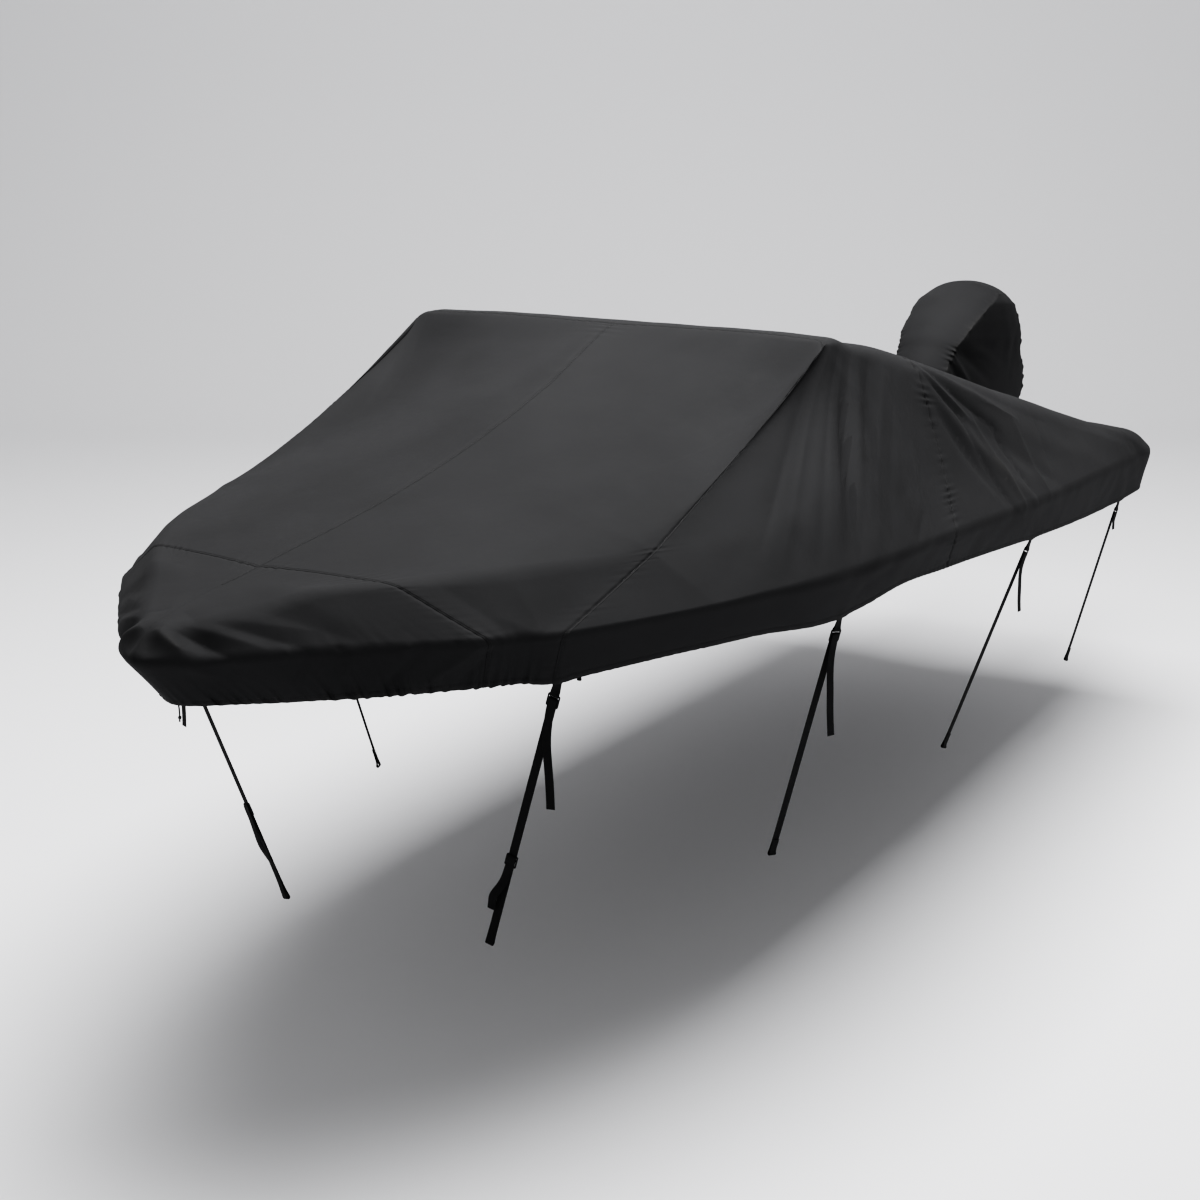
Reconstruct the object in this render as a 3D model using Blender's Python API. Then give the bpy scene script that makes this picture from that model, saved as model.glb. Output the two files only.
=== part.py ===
"""Trailering cover for an open boat, with its tie-down straps and motor hood.

Metres, +Z up, the bow towards -Y and the port side at +X. The origin is the
point under the cloth where the cover hangs on the top of the boat's windscreen.
The cover is one surface of lengthwise lines. A station number s runs along
them, from 0 at the stem to 5 at the middle of the stern, and every seam is a
station. Column numbers t run across, from the centreline to the hem.
"""
import bpy
import bmesh
import numpy as np
from math import cos, pi, radians, sin
from mathutils import Vector

# ---------------------------------------------------------------- dimensions
CLOTH = 0.002            # cover cloth with its coating
SEAM_GAP = 0.0003        # between two pieces
WEBBING_WIDTH = 0.025
WEBBING = 0.0016         # webbing thickness
TAB_CLEARANCE = 0.0008   # from the cloth to the tab that lies inside it
TAB_REACH = 0.036        # tab inside the skirt, above the hem
TAB_DROP = 0.038         # from the hem to the top of the buckle
BUCKLE_WIDTH = 0.036
BUCKLE_HEIGHT = 0.041
BUCKLE_THICKNESS = 0.004
BUCKLE_BAR = 0.005
BUCKLE_CORNER = 0.005
WRAP_RADIUS = 0.0045     # middle of the webbing, round a bar of the buckle
LOOP_RADIUS = 0.006      # middle of the webbing, round the foot of a strap
LAYER_GAP = 0.0006       # between two layers of webbing
CORD_RADIUS = 0.0021

BOW_SEAM, DIAGONAL_SEAM, AFT_SEAM, STERN = 1.0, 2.0, 3.0, 5.0
CENTRE, KNEE, RAIL, GUNWALE, HEM = 0.0, 1.0, 2.0, 3.0, 4.0

# Lengthwise lines of the cover: station s, half breadth x, length y, height z.
LINES = {
    "centre": [  # ridge of the cloth on the centreline
        (0.00, 0, -1.900, -0.430), (1.00, 0, -1.780, -0.413), (1.25, 0, -1.350, -0.354),
        (1.50, 0, -0.900, -0.268), (1.75, 0, -0.450, -0.142), (2.00, 0, 0.000, 0.020),
        (2.50, 0, 0.300, -0.020), (3.00, 0, 0.600, -0.088), (3.50, 0, 1.650, -0.375),
        (4.00, 0, 2.620, -0.630), (5.00, 0, 2.770, -0.668)],
    "knee": [  # from the stem to the windscreen's corner, then the after ridge
        (0.00, 0, -1.980, -0.440), (1.00, 0.180, -1.760, -0.409), (1.25, 0.340, -1.340, -0.362),
        (1.50, 0.500, -0.900, -0.290), (1.75, 0.655, -0.440, -0.184),
        (1.90, 0.745, -0.170, -0.072), (2.00, 0.800, 0.000, 0.032), (2.50, 0.810, 0.200, -0.012),
        (2.75, 0.820, 0.400, -0.055), (3.00, 0.835, 0.600, -0.108), (3.50, 0.860, 1.650, -0.392),
        (4.00, 0.900, 2.640, -0.662), (4.35, 0.700, 2.830, -0.690), (5.00, 0, 2.860, -0.700)],
    "rail": [  # where the cloth bends down over the bow rail
        (0.00, 0, -2.170, -0.476), (0.25, 0.100, -2.096, -0.470), (0.50, 0.200, -1.975, -0.446),
        (0.75, 0.300, -1.850, -0.414), (1.00, 0.405, -1.730, -0.415),
        (1.50, 0.610, -1.450, -0.418), (2.00, 0.800, -1.090, -0.423),
        (2.25, 0.930, -0.770, -0.418), (2.50, 1.008, -0.445, -0.411),
        (2.70, 1.018, -0.074, -0.391), (2.85, 0.993, 0.267, -0.399), (3.00, 0.972, 0.532, -0.426),
        (3.50, 0.965, 1.620, -0.570), (4.00, 0.975, 2.680, -0.700), (4.30, 0.930, 2.940, -0.738),
        (4.60, 0.550, 3.010, -0.750), (5.00, 0, 3.020, -0.750)],
    "gunwale": [  # edge of the hull
        (0.00, 0, -2.240, -0.548), (0.25, 0.162, -2.128, -0.555), (0.50, 0.312, -1.985, -0.548),
        (0.75, 0.466, -1.828, -0.553), (1.00, 0.640, -1.640, -0.561),
        (1.50, 0.692, -1.557, -0.566), (2.00, 0.757, -1.482, -0.567),
        (2.20, 0.914, -1.158, -0.572), (2.40, 1.024, -0.862, -0.576),
        (2.55, 1.102, -0.548, -0.587), (2.75, 1.142, -0.171, -0.599),
        (3.00, 1.135, 0.285, -0.629), (3.50, 1.096, 1.417, -0.716), (3.80, 1.054, 2.170, -0.767),
        (4.00, 1.021, 2.720, -0.808), (4.15, 1.010, 2.950, -0.820), (4.35, 0.940, 3.085, -0.828),
        (4.60, 0.550, 3.110, -0.830), (5.00, 0, 3.115, -0.830)],
    "hem": [
        (0.00, 0, -2.105, -0.698), (0.25, 0.170, -1.973, -0.706), (0.50, 0.319, -1.884, -0.698),
        (0.75, 0.452, -1.765, -0.698), (1.00, 0.584, -1.601, -0.705),
        (1.50, 0.633, -1.504, -0.713), (2.00, 0.692, -1.439, -0.719),
        (2.20, 0.851, -1.106, -0.714), (2.40, 0.958, -0.801, -0.720),
        (2.55, 1.036, -0.481, -0.748), (2.65, 1.055, -0.302, -0.747),
        (2.75, 1.076, -0.095, -0.732), (3.00, 1.070, 0.367, -0.769), (3.50, 1.033, 1.507, -0.892),
        (3.80, 0.990, 2.268, -0.967), (4.00, 0.962, 2.819, -1.005), (4.20, 0.944, 3.037, -1.018),
        (4.40, 0.838, 3.128, -1.028), (4.60, 0.519, 3.148, -1.032), (5.00, 0, 3.060, -1.012)],
}
# How far the cloth rounds each line, on the two sides of it: s, knee, rail, gunwale.
ROUNDING = [(0.0, 0.080, 0.035, 0.030), (1.0, 0.080, 0.035, 0.025), (1.7, 0.100, 0.040, 0.025),
            (2.0, 0.070, 0.045, 0.028), (2.4, 0.070, 0.070, 0.032), (2.7, 0.080, 0.160, 0.034),
            (3.0, 0.090, 0.180, 0.036), (3.5, 0.110, 0.110, 0.036), (4.0, 0.120, 0.060, 0.034),
            (5.0, 0.040, 0.040, 0.030)]
# Faces across the cloth, from one rounding to the next.
FACES_ACROSS = {"top": 4, "knee": 3, "slope": 5, "rail": 3, "side": 2, "gunwale": 2, "skirt": 3}

# Stations between the seams. They crowd where the cloth folds.
STATIONS = {
    "bow_cap": [0, 0.08, 0.18, 0.30, 0.42, 0.55, 0.70, 0.85, 1],
    "foredeck": [1, 1.11, 1.23, 1.36, 1.50, 1.64, 1.78, 1.90, 2],
    "midship": [2, 2.07, 2.14, 2.21, 2.27, 2.33, 2.39, 2.44, 2.49, 2.54, 2.59, 2.64, 2.69, 2.74,
                2.80, 2.86, 2.93, 3],
    "stern": [3, 3.04, 3.08, 3.13, 3.18, 3.24, 3.32, 3.42, 3.54, 3.66, 3.78, 3.90, 4.0, 4.08, 4.18,
              4.30, 4.45, 4.65, 4.83, 5],
}
# Folds of the cloth: station and column of both ends, half width, depth out of the cloth.
FOLDS = [(2.00, 1.02, 2.00, 1.98, 0.260, -0.052), (2.10, 1.10, 2.44, 2.80, 0.050, -0.010), (2.20, 1.10, 2.54, 2.90, 0.045, 0.007),
         (2.34, 1.15, 2.60, 2.95, 0.045, -0.012), (2.50, 1.20, 2.66, 3.00, 0.040, 0.008),
         (2.60, 1.20, 2.72, 3.10, 0.045, -0.011), (2.74, 1.20, 2.80, 3.00, 0.040, 0.007),
         (2.90, 1.30, 2.90, 3.10, 0.045, -0.008), (3.01, 1.15, 3.40, 3.30, 0.048, 0.011),
         (3.02, 1.25, 3.28, 3.10, 0.045, -0.010), (3.08, 1.15, 3.56, 3.00, 0.050, -0.009),
         (3.14, 1.20, 3.80, 2.80, 0.060, 0.006), (0.05, 2.00, 0.20, 3.20, 0.035, 0.008),
         (0.14, 2.00, 0.32, 3.30, 0.035, -0.007), (4.10, 1.80, 4.30, 3.30, 0.045, 0.007),
         (3.95, 1.90, 4.05, 3.20, 0.045, -0.006)]
STARBOARD_FOLD = 1.0     # the other side folds as deep

# Tie-downs: side, number, station on the hem, foot, doubled end, free end past the buckle,
# and the degrees that the strap turns to face forward.
STRAPS = [(1, "1", 2.024, (0.360, -1.300, -1.610), 0.260, 0.295, 24),
          (1, "2", 2.590, (0.800, -0.360, -1.590), 0.060, 0.300, 24),
          (1, "3", 3.412, (0.830, 1.020, -1.660), 0.060, 0.200, 14),
          (1, "4", 3.925, (0.855, 2.380, -1.680), 0.060, 0.045, 11),
          (-1, "1", 1.930, (-0.360, -1.350, -1.610), 0.240, 0.270, 24),
          (-1, "2", 2.590, (-0.800, -0.350, -1.590), 0.070, 0.280, 20),
          (-1, "3", 3.412, (-0.830, 1.030, -1.660), 0.060, 0.215, 14),
          (-1, "4", 3.925, (-0.855, 2.390, -1.680), 0.060, 0.060, 11)]

# Motor hood, from its hem up: front y, front z, back y, back z, half breadth.
HOOD_LEVELS = [(2.600, -0.560, 3.650, -0.756, 0.135), (2.652, -0.487, 3.700, -0.675, 0.136),
               (2.706, -0.430, 3.680, -0.600, 0.138), (2.752, -0.389, 3.612, -0.520, 0.150),
               (2.845, -0.341, 3.541, -0.430, 0.175), (2.957, -0.280, 3.459, -0.335, 0.189),
               (3.054, -0.225, 3.396, -0.265, 0.190), (3.172, -0.190, 3.319, -0.210, 0.174)]
HOOD_FACES = {"up": 9, "along": 8, "across": 6}
HOOD_SIDE_SWELL = 0.030
HOOD_TOP_SWELL = 0.055
HOOD_TOP_RISE = 0.004

# ----------------------------------------------------------------- the scene
def clear_scene():
    for existing in list(bpy.data.objects):
        bpy.data.objects.remove(existing, do_unlink=True)


def make_material(name, colour, roughness, metallic=0.0):
    material = bpy.data.materials.new(name)
    material.use_nodes = True
    shader = material.node_tree.nodes["Principled BSDF"]
    shader.inputs["Base Color"].default_value = (*colour, 1.0)
    shader.inputs["Roughness"].default_value = roughness
    shader.inputs["Metallic"].default_value = metallic
    return material


def add_object(name, mesh, material):
    mesh.materials.clear()
    mesh.materials.append(material)
    part = bpy.data.objects.new(name, mesh)
    COVER.objects.link(part)
    return part


# ------------------------------------------------------------ cover surface
def smooth_through(rows, where, mirror_x=False):
    """Values of a table of rows (s, a, b, ...) at s, on a curve that never overshoots them.

    Both ends are centreline stations, where x changes sign and the rest turns back."""
    table = np.array(rows, float)
    if mirror_x:
        sign = np.array([1, -1] + [1] * (table.shape[1] - 2))
        before = table[1] * sign
        before[0] = 2 * table[0, 0] - table[1, 0]
        after = table[-2] * sign
        after[0] = 2 * table[-1, 0] - table[-2, 0]
        table = np.vstack([before, table, after])
    s, values = table[:, 0], table[:, 1:]
    steps = np.diff(s)[:, None]
    chords = np.diff(values, axis=0) / steps
    back, ahead = chords[:-1], chords[1:]
    same_way = back * ahead > 0
    mean = (steps[1:] * 2 + steps[:-1]) / np.where(same_way, back, 1)
    mean += (steps[:-1] * 2 + steps[1:]) / np.where(same_way, ahead, 1)
    slopes = np.zeros_like(values)
    slopes[1:-1] = np.where(same_way, 3 * (steps[1:] + steps[:-1]) / mean, 0)
    slopes[0], slopes[-1] = chords[0], chords[-1]
    i = int(np.clip(np.searchsorted(s, where) - 1, 0, len(s) - 2))
    span = s[i + 1] - s[i]
    u = (where - s[i]) / span
    ends = values[i] * (1 + 2 * u) * (1 - u) ** 2 + values[i + 1] * u * u * (3 - 2 * u)
    bends = slopes[i] * u * (1 - u) ** 2 - slopes[i + 1] * u * u * (1 - u)
    return ends + bends * span


def key_points(s):
    return [smooth_through(LINES[name], s, mirror_x=True) for name in LINES]


def straight(a, b, faces):
    return [a + (b - a) * k / faces for k in range(1, faces + 1)]


def rounded(a, corner, b, faces):
    turn = []
    for k in range(1, faces + 1):
        u = k / faces
        turn.append(a * (1 - u) ** 2 + corner * 2 * u * (1 - u) + b * u * u)
    return turn


def cross_section(s):
    """The cloth from the centreline to the port hem at a station, and each point's t."""
    centre, knee, rail, gunwale, hem = key_points(s)
    reach = [np.interp(s, [r[0] for r in ROUNDING], [r[k] for r in ROUNDING]) for k in (1, 2, 3)]
    corners = []
    for before, corner, after, size in ((centre, knee, rail, reach[0]), (knee, rail, gunwale, reach[1]),
                                        (rail, gunwale, hem, reach[2])):
        back, ahead = before - corner, after - corner
        size_back = min(size, 0.45 * np.linalg.norm(back))
        size_ahead = min(size, 0.45 * np.linalg.norm(ahead))
        start = corner + back / np.linalg.norm(back) * size_back
        end = corner + ahead / np.linalg.norm(ahead) * size_ahead
        corners.append((start, corner, end))
    (k0, k1, k2), (r0, r1, r2), (g0, g1, g2) = corners
    faces = FACES_ACROSS
    points = [centre] + straight(centre, k0, faces["top"]) + rounded(k0, k1, k2, faces["knee"])
    points += straight(k2, r0, faces["slope"]) + rounded(r0, r1, r2, faces["rail"])
    points += straight(r2, g0, faces["side"]) + rounded(g0, g1, g2, faces["gunwale"])
    points += straight(g2, hem, faces["skirt"])
    counts = list(faces.values())
    edges = np.cumsum([0] + counts)
    marks = [CENTRE, KNEE - 0.15, KNEE + 0.15, RAIL - 0.2, RAIL + 0.2, GUNWALE - 0.2, GUNWALE + 0.2, HEM]
    columns = np.interp(range(edges[-1] + 1), edges, marks)
    return np.array(points), columns


def surface_point(s, t):
    points, columns = cross_section(s)
    return np.array([np.interp(t, columns, points[:, axis]) for axis in range(3)])


def grid_normals(grid):
    """Unit normals at the points of a grid, from the faces around each."""
    faces = np.cross(grid[:-1, 1:] - grid[1:, :-1], grid[1:, 1:] - grid[:-1, :-1])
    normals = np.zeros_like(grid)
    for rows in (slice(0, -1), slice(1, None)):
        for columns in (slice(0, -1), slice(1, None)):
            normals[rows, columns] += faces
    return normals / np.linalg.norm(normals, axis=2, keepdims=True)


def cover_normals(grid):
    """The same, with the normals of the centreline's points kept in its plane."""
    normals = grid_normals(grid)
    normals[0, :, 0] = 0
    normals[-1, :, 0] = 0
    normals[:, 0, 0] = 0
    return normals / np.linalg.norm(normals, axis=2, keepdims=True)


def fold_height(points, side_scale):
    height = np.zeros(points.shape[:2])
    for s_top, t_top, s_foot, t_foot, half_width, depth in FOLDS:
        top = surface_point(s_top, t_top)
        foot = surface_point(s_foot, t_foot)
        run = foot - top
        u = np.clip(((points - top) @ run) / (run @ run), 0, 1)
        away = np.linalg.norm(points - (top + u[..., None] * run), axis=2)
        swell = np.sin(pi * np.clip(u * 0.92 + 0.04, 0, 1)) ** 0.6
        height += depth * side_scale * swell * np.exp(-(away / half_width) ** 2)
    return height


def cover_side(side):
    """Outer and inner points of one side, over every station. side is 1 or -1."""
    stations = sorted({s for rows in STATIONS.values() for s in rows})
    outer = np.array([cross_section(s)[0] for s in stations])
    columns = cross_section(0.0)[1]
    normals = cover_normals(outer)
    scale = 1.0 if side > 0 else STARBOARD_FOLD
    fade = np.clip(columns / 0.8, 0, 1)[None, :] * np.ones((len(stations), 1))
    fade[0], fade[-1] = 0, 0
    outer = outer + normals * (fold_height(outer, scale) * fade)[..., None]
    normals = cover_normals(outer)
    inner = outer - normals * CLOTH
    mirror = np.array([side, 1, 1])
    return stations, outer * mirror, inner * mirror


def edge_row(outer, inner, at, towards, gap, closed_centre):
    """Draws a row of points back from its seam, square to the seam."""
    tangent = np.gradient(outer[at], axis=0)
    if closed_centre:
        tangent[0] = (1, 0, 0)
    tangent /= np.linalg.norm(tangent, axis=1, keepdims=True)
    step = outer[towards] - outer[at]
    step -= (step * tangent).sum(axis=1, keepdims=True) * tangent
    step *= gap / 2 / np.linalg.norm(step, axis=1, keepdims=True)
    outer[at] += step
    inner[at] += step


def cloth_solid(name, sheets, material):
    """A closed solid from sheets (outer points, inner points, side) that share their edges."""
    vertices, outside, numbers = [], [], {}
    for outer, inner, side in sheets:
        rows, columns = outer.shape[:2]
        grid = np.zeros((rows, columns), int)
        for i in range(rows):
            for j in range(columns):
                key = tuple(int(round(value * 50000)) for value in outer[i, j])
                if key not in numbers:
                    numbers[key] = len(vertices)
                    vertices.extend([tuple(outer[i, j]), tuple(inner[i, j])])
                grid[i, j] = numbers[key]
        for i in range(rows - 1):
            for j in range(columns - 1):
                face = [grid[i, j], grid[i, j + 1], grid[i + 1, j + 1], grid[i + 1, j]]
                if side < 0:
                    face.reverse()
                outside.append([int(v) for v in face])
    edges = {(face[k - 1], face[k]) for face in outside for k in range(4)}
    rim = [[b, a, a + 1, b + 1] for a, b in sorted(edges) if (b, a) not in edges]
    inside = [[v + 1 for v in reversed(face)] for face in outside]
    return solid_from(name, vertices, outside + inside + rim, material)


def solid_from(name, vertices, faces, material):
    mesh = bpy.data.meshes.new(name)
    mesh.from_pydata(vertices, [], faces)
    work = bmesh.new()
    work.from_mesh(mesh)
    bmesh.ops.triangulate(work, faces=work.faces[:])
    bmesh.ops.recalc_face_normals(work, faces=work.faces[:])
    work.to_mesh(mesh)
    work.free()
    return add_object(name, mesh, material)


def cover_panel(name, first, last, side, sides, material):
    """One panel between two stations: one side of the cover, or both in one piece."""
    sheets = []
    for which in sides:
        stations, outer, inner = sides[which]
        picked = [i for i, s in enumerate(stations) if first - 1e-6 <= s <= last + 1e-6]
        outer, inner = outer[picked].copy(), inner[picked].copy()
        whole = side == 0
        if first > 0:
            edge_row(outer, inner, 0, 1, SEAM_GAP, whole)
        if last < STERN:
            edge_row(outer, inner, -1, -2, SEAM_GAP, whole)
        if not whole:
            outer[:, 0, 0] = inner[:, 0, 0] = which * SEAM_GAP / 2
        if first == 0:
            outer[0, :, 0] = inner[0, :, 0] = which * SEAM_GAP / 2
        if side in (0, which):
            sheets.append((outer, inner, which))
    return cloth_solid(name, sheets, material)


# ------------------------------------------------------------------ webbing
def unit(vector):
    vector = np.asarray(vector, float)
    return vector / np.linalg.norm(vector)


def ribbon(name, points, across, width, thickness, material):
    """A flat strap along the points. across gives its width direction at each of them."""
    points = np.array(points, float)
    tangents = np.gradient(points, axis=0)
    vertices, faces = [], []
    count = len(points)
    for k in range(count):
        tangent = unit(tangents[k])
        wide = unit(across[k] - tangent * (across[k] @ tangent))
        thick = np.cross(tangent, wide) * thickness / 2
        wide = wide * width / 2
        for a, b in ((-1, -1), (1, -1), (1, 1), (-1, 1)):
            vertices.append(tuple(points[k] + wide * a + thick * b))
    for k in range(count - 1):
        for c in range(4):
            d = (c + 1) % 4
            faces.append([4 * k + c, 4 * k + d, 4 * k + 4 + d, 4 * k + 4 + c])
    last = 4 * (count - 1)
    faces += [[3, 2, 1, 0], [last, last + 1, last + 2, last + 3]]
    return solid_from(name, vertices, faces, material)


def hem_frame(station, side):
    """Inner point of the hem, the way up the skirt, the way in, and the way along."""
    stations, outer, inner = SIDES[side]
    i = int(np.searchsorted(stations, station)) - 1
    share = (station - stations[i]) / (stations[i + 1] - stations[i])
    hem = inner[i, -1] * (1 - share) + inner[i + 1, -1] * share
    above = inner[i, -2] * (1 - share) + inner[i + 1, -2] * share
    along = unit(inner[i + 1, -1] - inner[i, -1])
    up = unit(above - hem)
    inward = unit(np.cross(up, along))
    if inward @ (inner[i, -1] - outer[i, -1]) < 0:
        inward = -inward
    return hem, up, inward, along


def turned(vector, axis, angle):
    """The vector turned about an axis."""
    return (vector * cos(angle) + np.cross(axis, vector) * sin(angle)
            + axis * (axis @ vector) * (1 - cos(angle)))


def tie_down(side, label, station, foot, doubled, free_end, turn):
    """Tab, buckle and strap of one tie-down."""
    hem, up, inward, along = hem_frame(station, side)
    foot = np.array(foot)
    start = hem + inward * (TAB_CLEARANCE + WEBBING + LAYER_GAP / 2)
    down = unit(foot - start)
    flat = unit(along - down * (along @ down))
    wide = turned(flat, down, side * radians(turn))
    out = unit(np.cross(down, wide))
    if out[0] * side < 0:
        out = -out
    layer = (WEBBING + LAYER_GAP) / 2
    bars = [BUCKLE_BAR / 2, BUCKLE_HEIGHT / 2, BUCKLE_HEIGHT - BUCKLE_BAR / 2]
    top = start + down * TAB_DROP

    def buckle_point(u, v):
        return top + out * u + down * v

    tab, widths = [], []
    for reach in (TAB_REACH, TAB_REACH * 0.5, 0.0):
        tab.append(start + up * reach - inward * -layer)
        widths.append(along)
    for v, share in ((-0.009, 0.6), (-0.003, 1.0)):
        tab.append(buckle_point(-WRAP_RADIUS * (0.45 + 0.5 * share) * share, v))
        widths.append(along * (1 - share) + wide * share)
    for k in range(7):
        angle = pi * k / 6
        tab.append(buckle_point(-WRAP_RADIUS * cos(angle), bars[0] + WRAP_RADIUS * sin(angle)))
        widths.append(wide)
    for v, share in ((-0.003, 1.0), (-0.009, 0.6)):
        tab.append(buckle_point(WRAP_RADIUS * (0.45 + 0.5 * share) * share, v))
        widths.append(along * (1 - share) + wide * share)
    for reach in (0.0, TAB_REACH * 0.5, TAB_REACH):
        tab.append(start + up * reach - inward * layer)
        widths.append(along)
    name = ("port_" if side > 0 else "starboard_") + label
    ribbon("tab_" + name, tab, widths, WEBBING_WIDTH, WEBBING, WEBBING_BLACK)

    buckle("buckle_" + name, top, wide, down, out)

    behind = buckle_point(-WRAP_RADIUS, 0)
    length = (foot - behind) @ down
    strap = []
    pitch = WEBBING + LAYER_GAP
    for v in (length - doubled, length - doubled * 0.6, length - doubled * 0.25):
        strap.append(behind + out * pitch + down * v)
    for k in range(7):
        angle = pi * k / 6
        strap.append(behind + out * (pitch / 2 + LOOP_RADIUS * cos(angle))
                     + down * (length - LOOP_RADIUS + LOOP_RADIUS * sin(angle)))
    for v in (length - 0.045, length * 0.66, length * 0.36, 0.060, bars[2]):
        strap.append(behind + down * v)
    for k in range(7):
        angle = pi * k / 6
        strap.append(buckle_point(-WRAP_RADIUS * cos(angle), bars[1] - WRAP_RADIUS * sin(angle)))
    strap.append(buckle_point(WRAP_RADIUS, bars[2]))
    widths = [wide] * len(strap)
    tip, heading = buckle_point(WRAP_RADIUS + 0.0005, BUCKLE_HEIGHT + 0.004), down
    strap.append(tip)
    widths.append(wide)
    plumb = np.array([side * 0.03, 0.02, -1.0])
    for k in range(8):
        share = min(1.0, (k + 1) / 4)
        heading = unit(down * (1 - share) + plumb * share + out * 0.05 * sin(k * 1.1))
        tip = tip + heading * free_end / 8
        strap.append(tip)
        widths.append(wide)
    ribbon("strap_" + name, strap, widths, WEBBING_WIDTH, WEBBING, WEBBING_BLACK)


def outline_curve(name, loops, thickness):
    """A flat plate with the loops as its outline and holes, thickened both ways."""
    data = bpy.data.curves.new(name, "CURVE")
    data.dimensions = "2D"
    data.fill_mode = "BOTH"
    data.extrude = thickness / 2
    for points in loops:
        spline = data.splines.new("POLY")
        spline.points.add(len(points) - 1)
        for k, (x, y) in enumerate(points):
            spline.points[k].co = (x, y, 0, 1)
        spline.use_cyclic_u = True
    return data


def rounded_box(x0, x1, y0, y1, corner, steps):
    points = []
    for cx, cy, turn in ((x1 - corner, y1 - corner, 0), (x0 + corner, y1 - corner, 1),
                         (x0 + corner, y0 + corner, 2), (x1 - corner, y0 + corner, 3)):
        for k in range(steps + 1):
            angle = (turn + k / steps) * pi / 2
            points.append((cx + corner * cos(angle), cy + corner * sin(angle)))
    return points


def buckle(name, top, wide, down, out):
    """A slide with three bars across, hung from its top bar."""
    half = BUCKLE_WIDTH / 2
    inside = half - 0.004
    middle = BUCKLE_HEIGHT / 2
    loops = [rounded_box(-half, half, 0, BUCKLE_HEIGHT, BUCKLE_CORNER, 3),
             rounded_box(-inside, inside, BUCKLE_BAR, middle - BUCKLE_BAR / 2, 0.0015, 1),
             rounded_box(-inside, inside, middle + BUCKLE_BAR / 2, BUCKLE_HEIGHT - BUCKLE_BAR,
                         0.0015, 1)]
    data = outline_curve(name + "_outline", loops, BUCKLE_THICKNESS)
    guide = bpy.data.objects.new(name + "_outline", data)
    GUIDES.objects.link(guide)
    guide.hide_render = True
    guide.display_type = "WIRE"
    bpy.context.view_layer.update()
    mesh = bpy.data.meshes.new_from_object(guide.evaluated_get(bpy.context.evaluated_depsgraph_get()))
    mesh.name = name
    work = bmesh.new()
    work.from_mesh(mesh)
    bmesh.ops.remove_doubles(work, verts=work.verts, dist=0.00005)
    for vertex in work.verts:
        x, y, z = vertex.co
        vertex.co = Vector(top + wide * x + down * y + out * z)
    bmesh.ops.triangulate(work, faces=work.faces[:])
    bmesh.ops.recalc_face_normals(work, faces=work.faces[:])
    work.to_mesh(mesh)
    work.free()
    add_object(name, mesh, BUCKLE_PLASTIC)


def drawcord():
    """End of the hem's drawcord, hanging inside the hem at the stem, with a knot."""
    hem, up, inward, _ = hem_frame(0.012, 1)
    data = bpy.data.curves.new("drawcord_path", "CURVE")
    data.dimensions = "3D"
    data.bevel_depth = CORD_RADIUS
    data.bevel_resolution = 3
    data.use_fill_caps = True
    spline = data.splines.new("POLY")
    top = hem + inward * (CORD_RADIUS + 0.0012)
    rows = [(-0.012, 1.0), (-0.006, 1.0), (0.002, 1.0), (0.010, 1.0), (0.018, 1.0), (0.026, 1.0),
            (0.033, 1.0), (0.0355, 1.7), (0.0385, 2.3), (0.0415, 1.7), (0.044, 1.0), (0.050, 1.0)]
    spline.points.add(len(rows) - 1)
    for k, (drop, radius) in enumerate(rows):
        place = top - up * min(drop, 0.004)
        place[2] -= max(drop - 0.004, 0)
        place[0] += 0.002 * sin(drop * 60)
        spline.points[k].co = (*place, 1)
        spline.points[k].radius = radius
    guide = bpy.data.objects.new("drawcord_path", data)
    GUIDES.objects.link(guide)
    guide.hide_render = True
    guide.display_type = "WIRE"
    bpy.context.view_layer.update()
    mesh = bpy.data.meshes.new_from_object(guide.evaluated_get(bpy.context.evaluated_depsgraph_get()))
    mesh.name = "drawcord_end"
    work = bmesh.new()
    work.from_mesh(mesh)
    bmesh.ops.remove_doubles(work, verts=work.verts, dist=0.00005)
    bmesh.ops.triangulate(work, faces=work.faces[:])
    bmesh.ops.recalc_face_normals(work, faces=work.faces[:])
    work.to_mesh(mesh)
    work.free()
    add_object("drawcord_end", mesh, CORD_BLACK)


# --------------------------------------------------------------- motor hood
def hood_profile():
    """The hood's front edge and back edge, from its hem to its top."""
    last = len(HOOD_LEVELS) - 1
    table = [(k / last,) + row for k, row in enumerate(HOOD_LEVELS)]
    front, back = [], []
    for k in range(HOOD_FACES["up"] + 1):
        y_front, z_front, y_back, z_back, half = smooth_through(table, k / HOOD_FACES["up"])
        front.append((half, y_front, z_front))
        back.append((half * 0.95, y_back, z_back))
    return np.array(front), np.array(back)


def hood_side(side):
    """Points of one side panel of the hood, from its hem up and from front to back."""
    front, back = hood_profile()
    columns = HOOD_FACES["along"]
    last = len(front) - 1
    grid = np.zeros((last + 1, columns + 1, 3))
    for i in range(last + 1):
        for j in range(columns + 1):
            u = j / columns
            point = front[i] * (1 - u) + back[i] * u
            point[0] += HOOD_SIDE_SWELL * sin(pi * u) ** 0.8 * (1 - (i / last) ** 3)
            point[2] += HOOD_TOP_RISE * sin(pi * u) * (i / last) ** 4
            point[0] *= side
            grid[i, j] = point
    return grid


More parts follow.
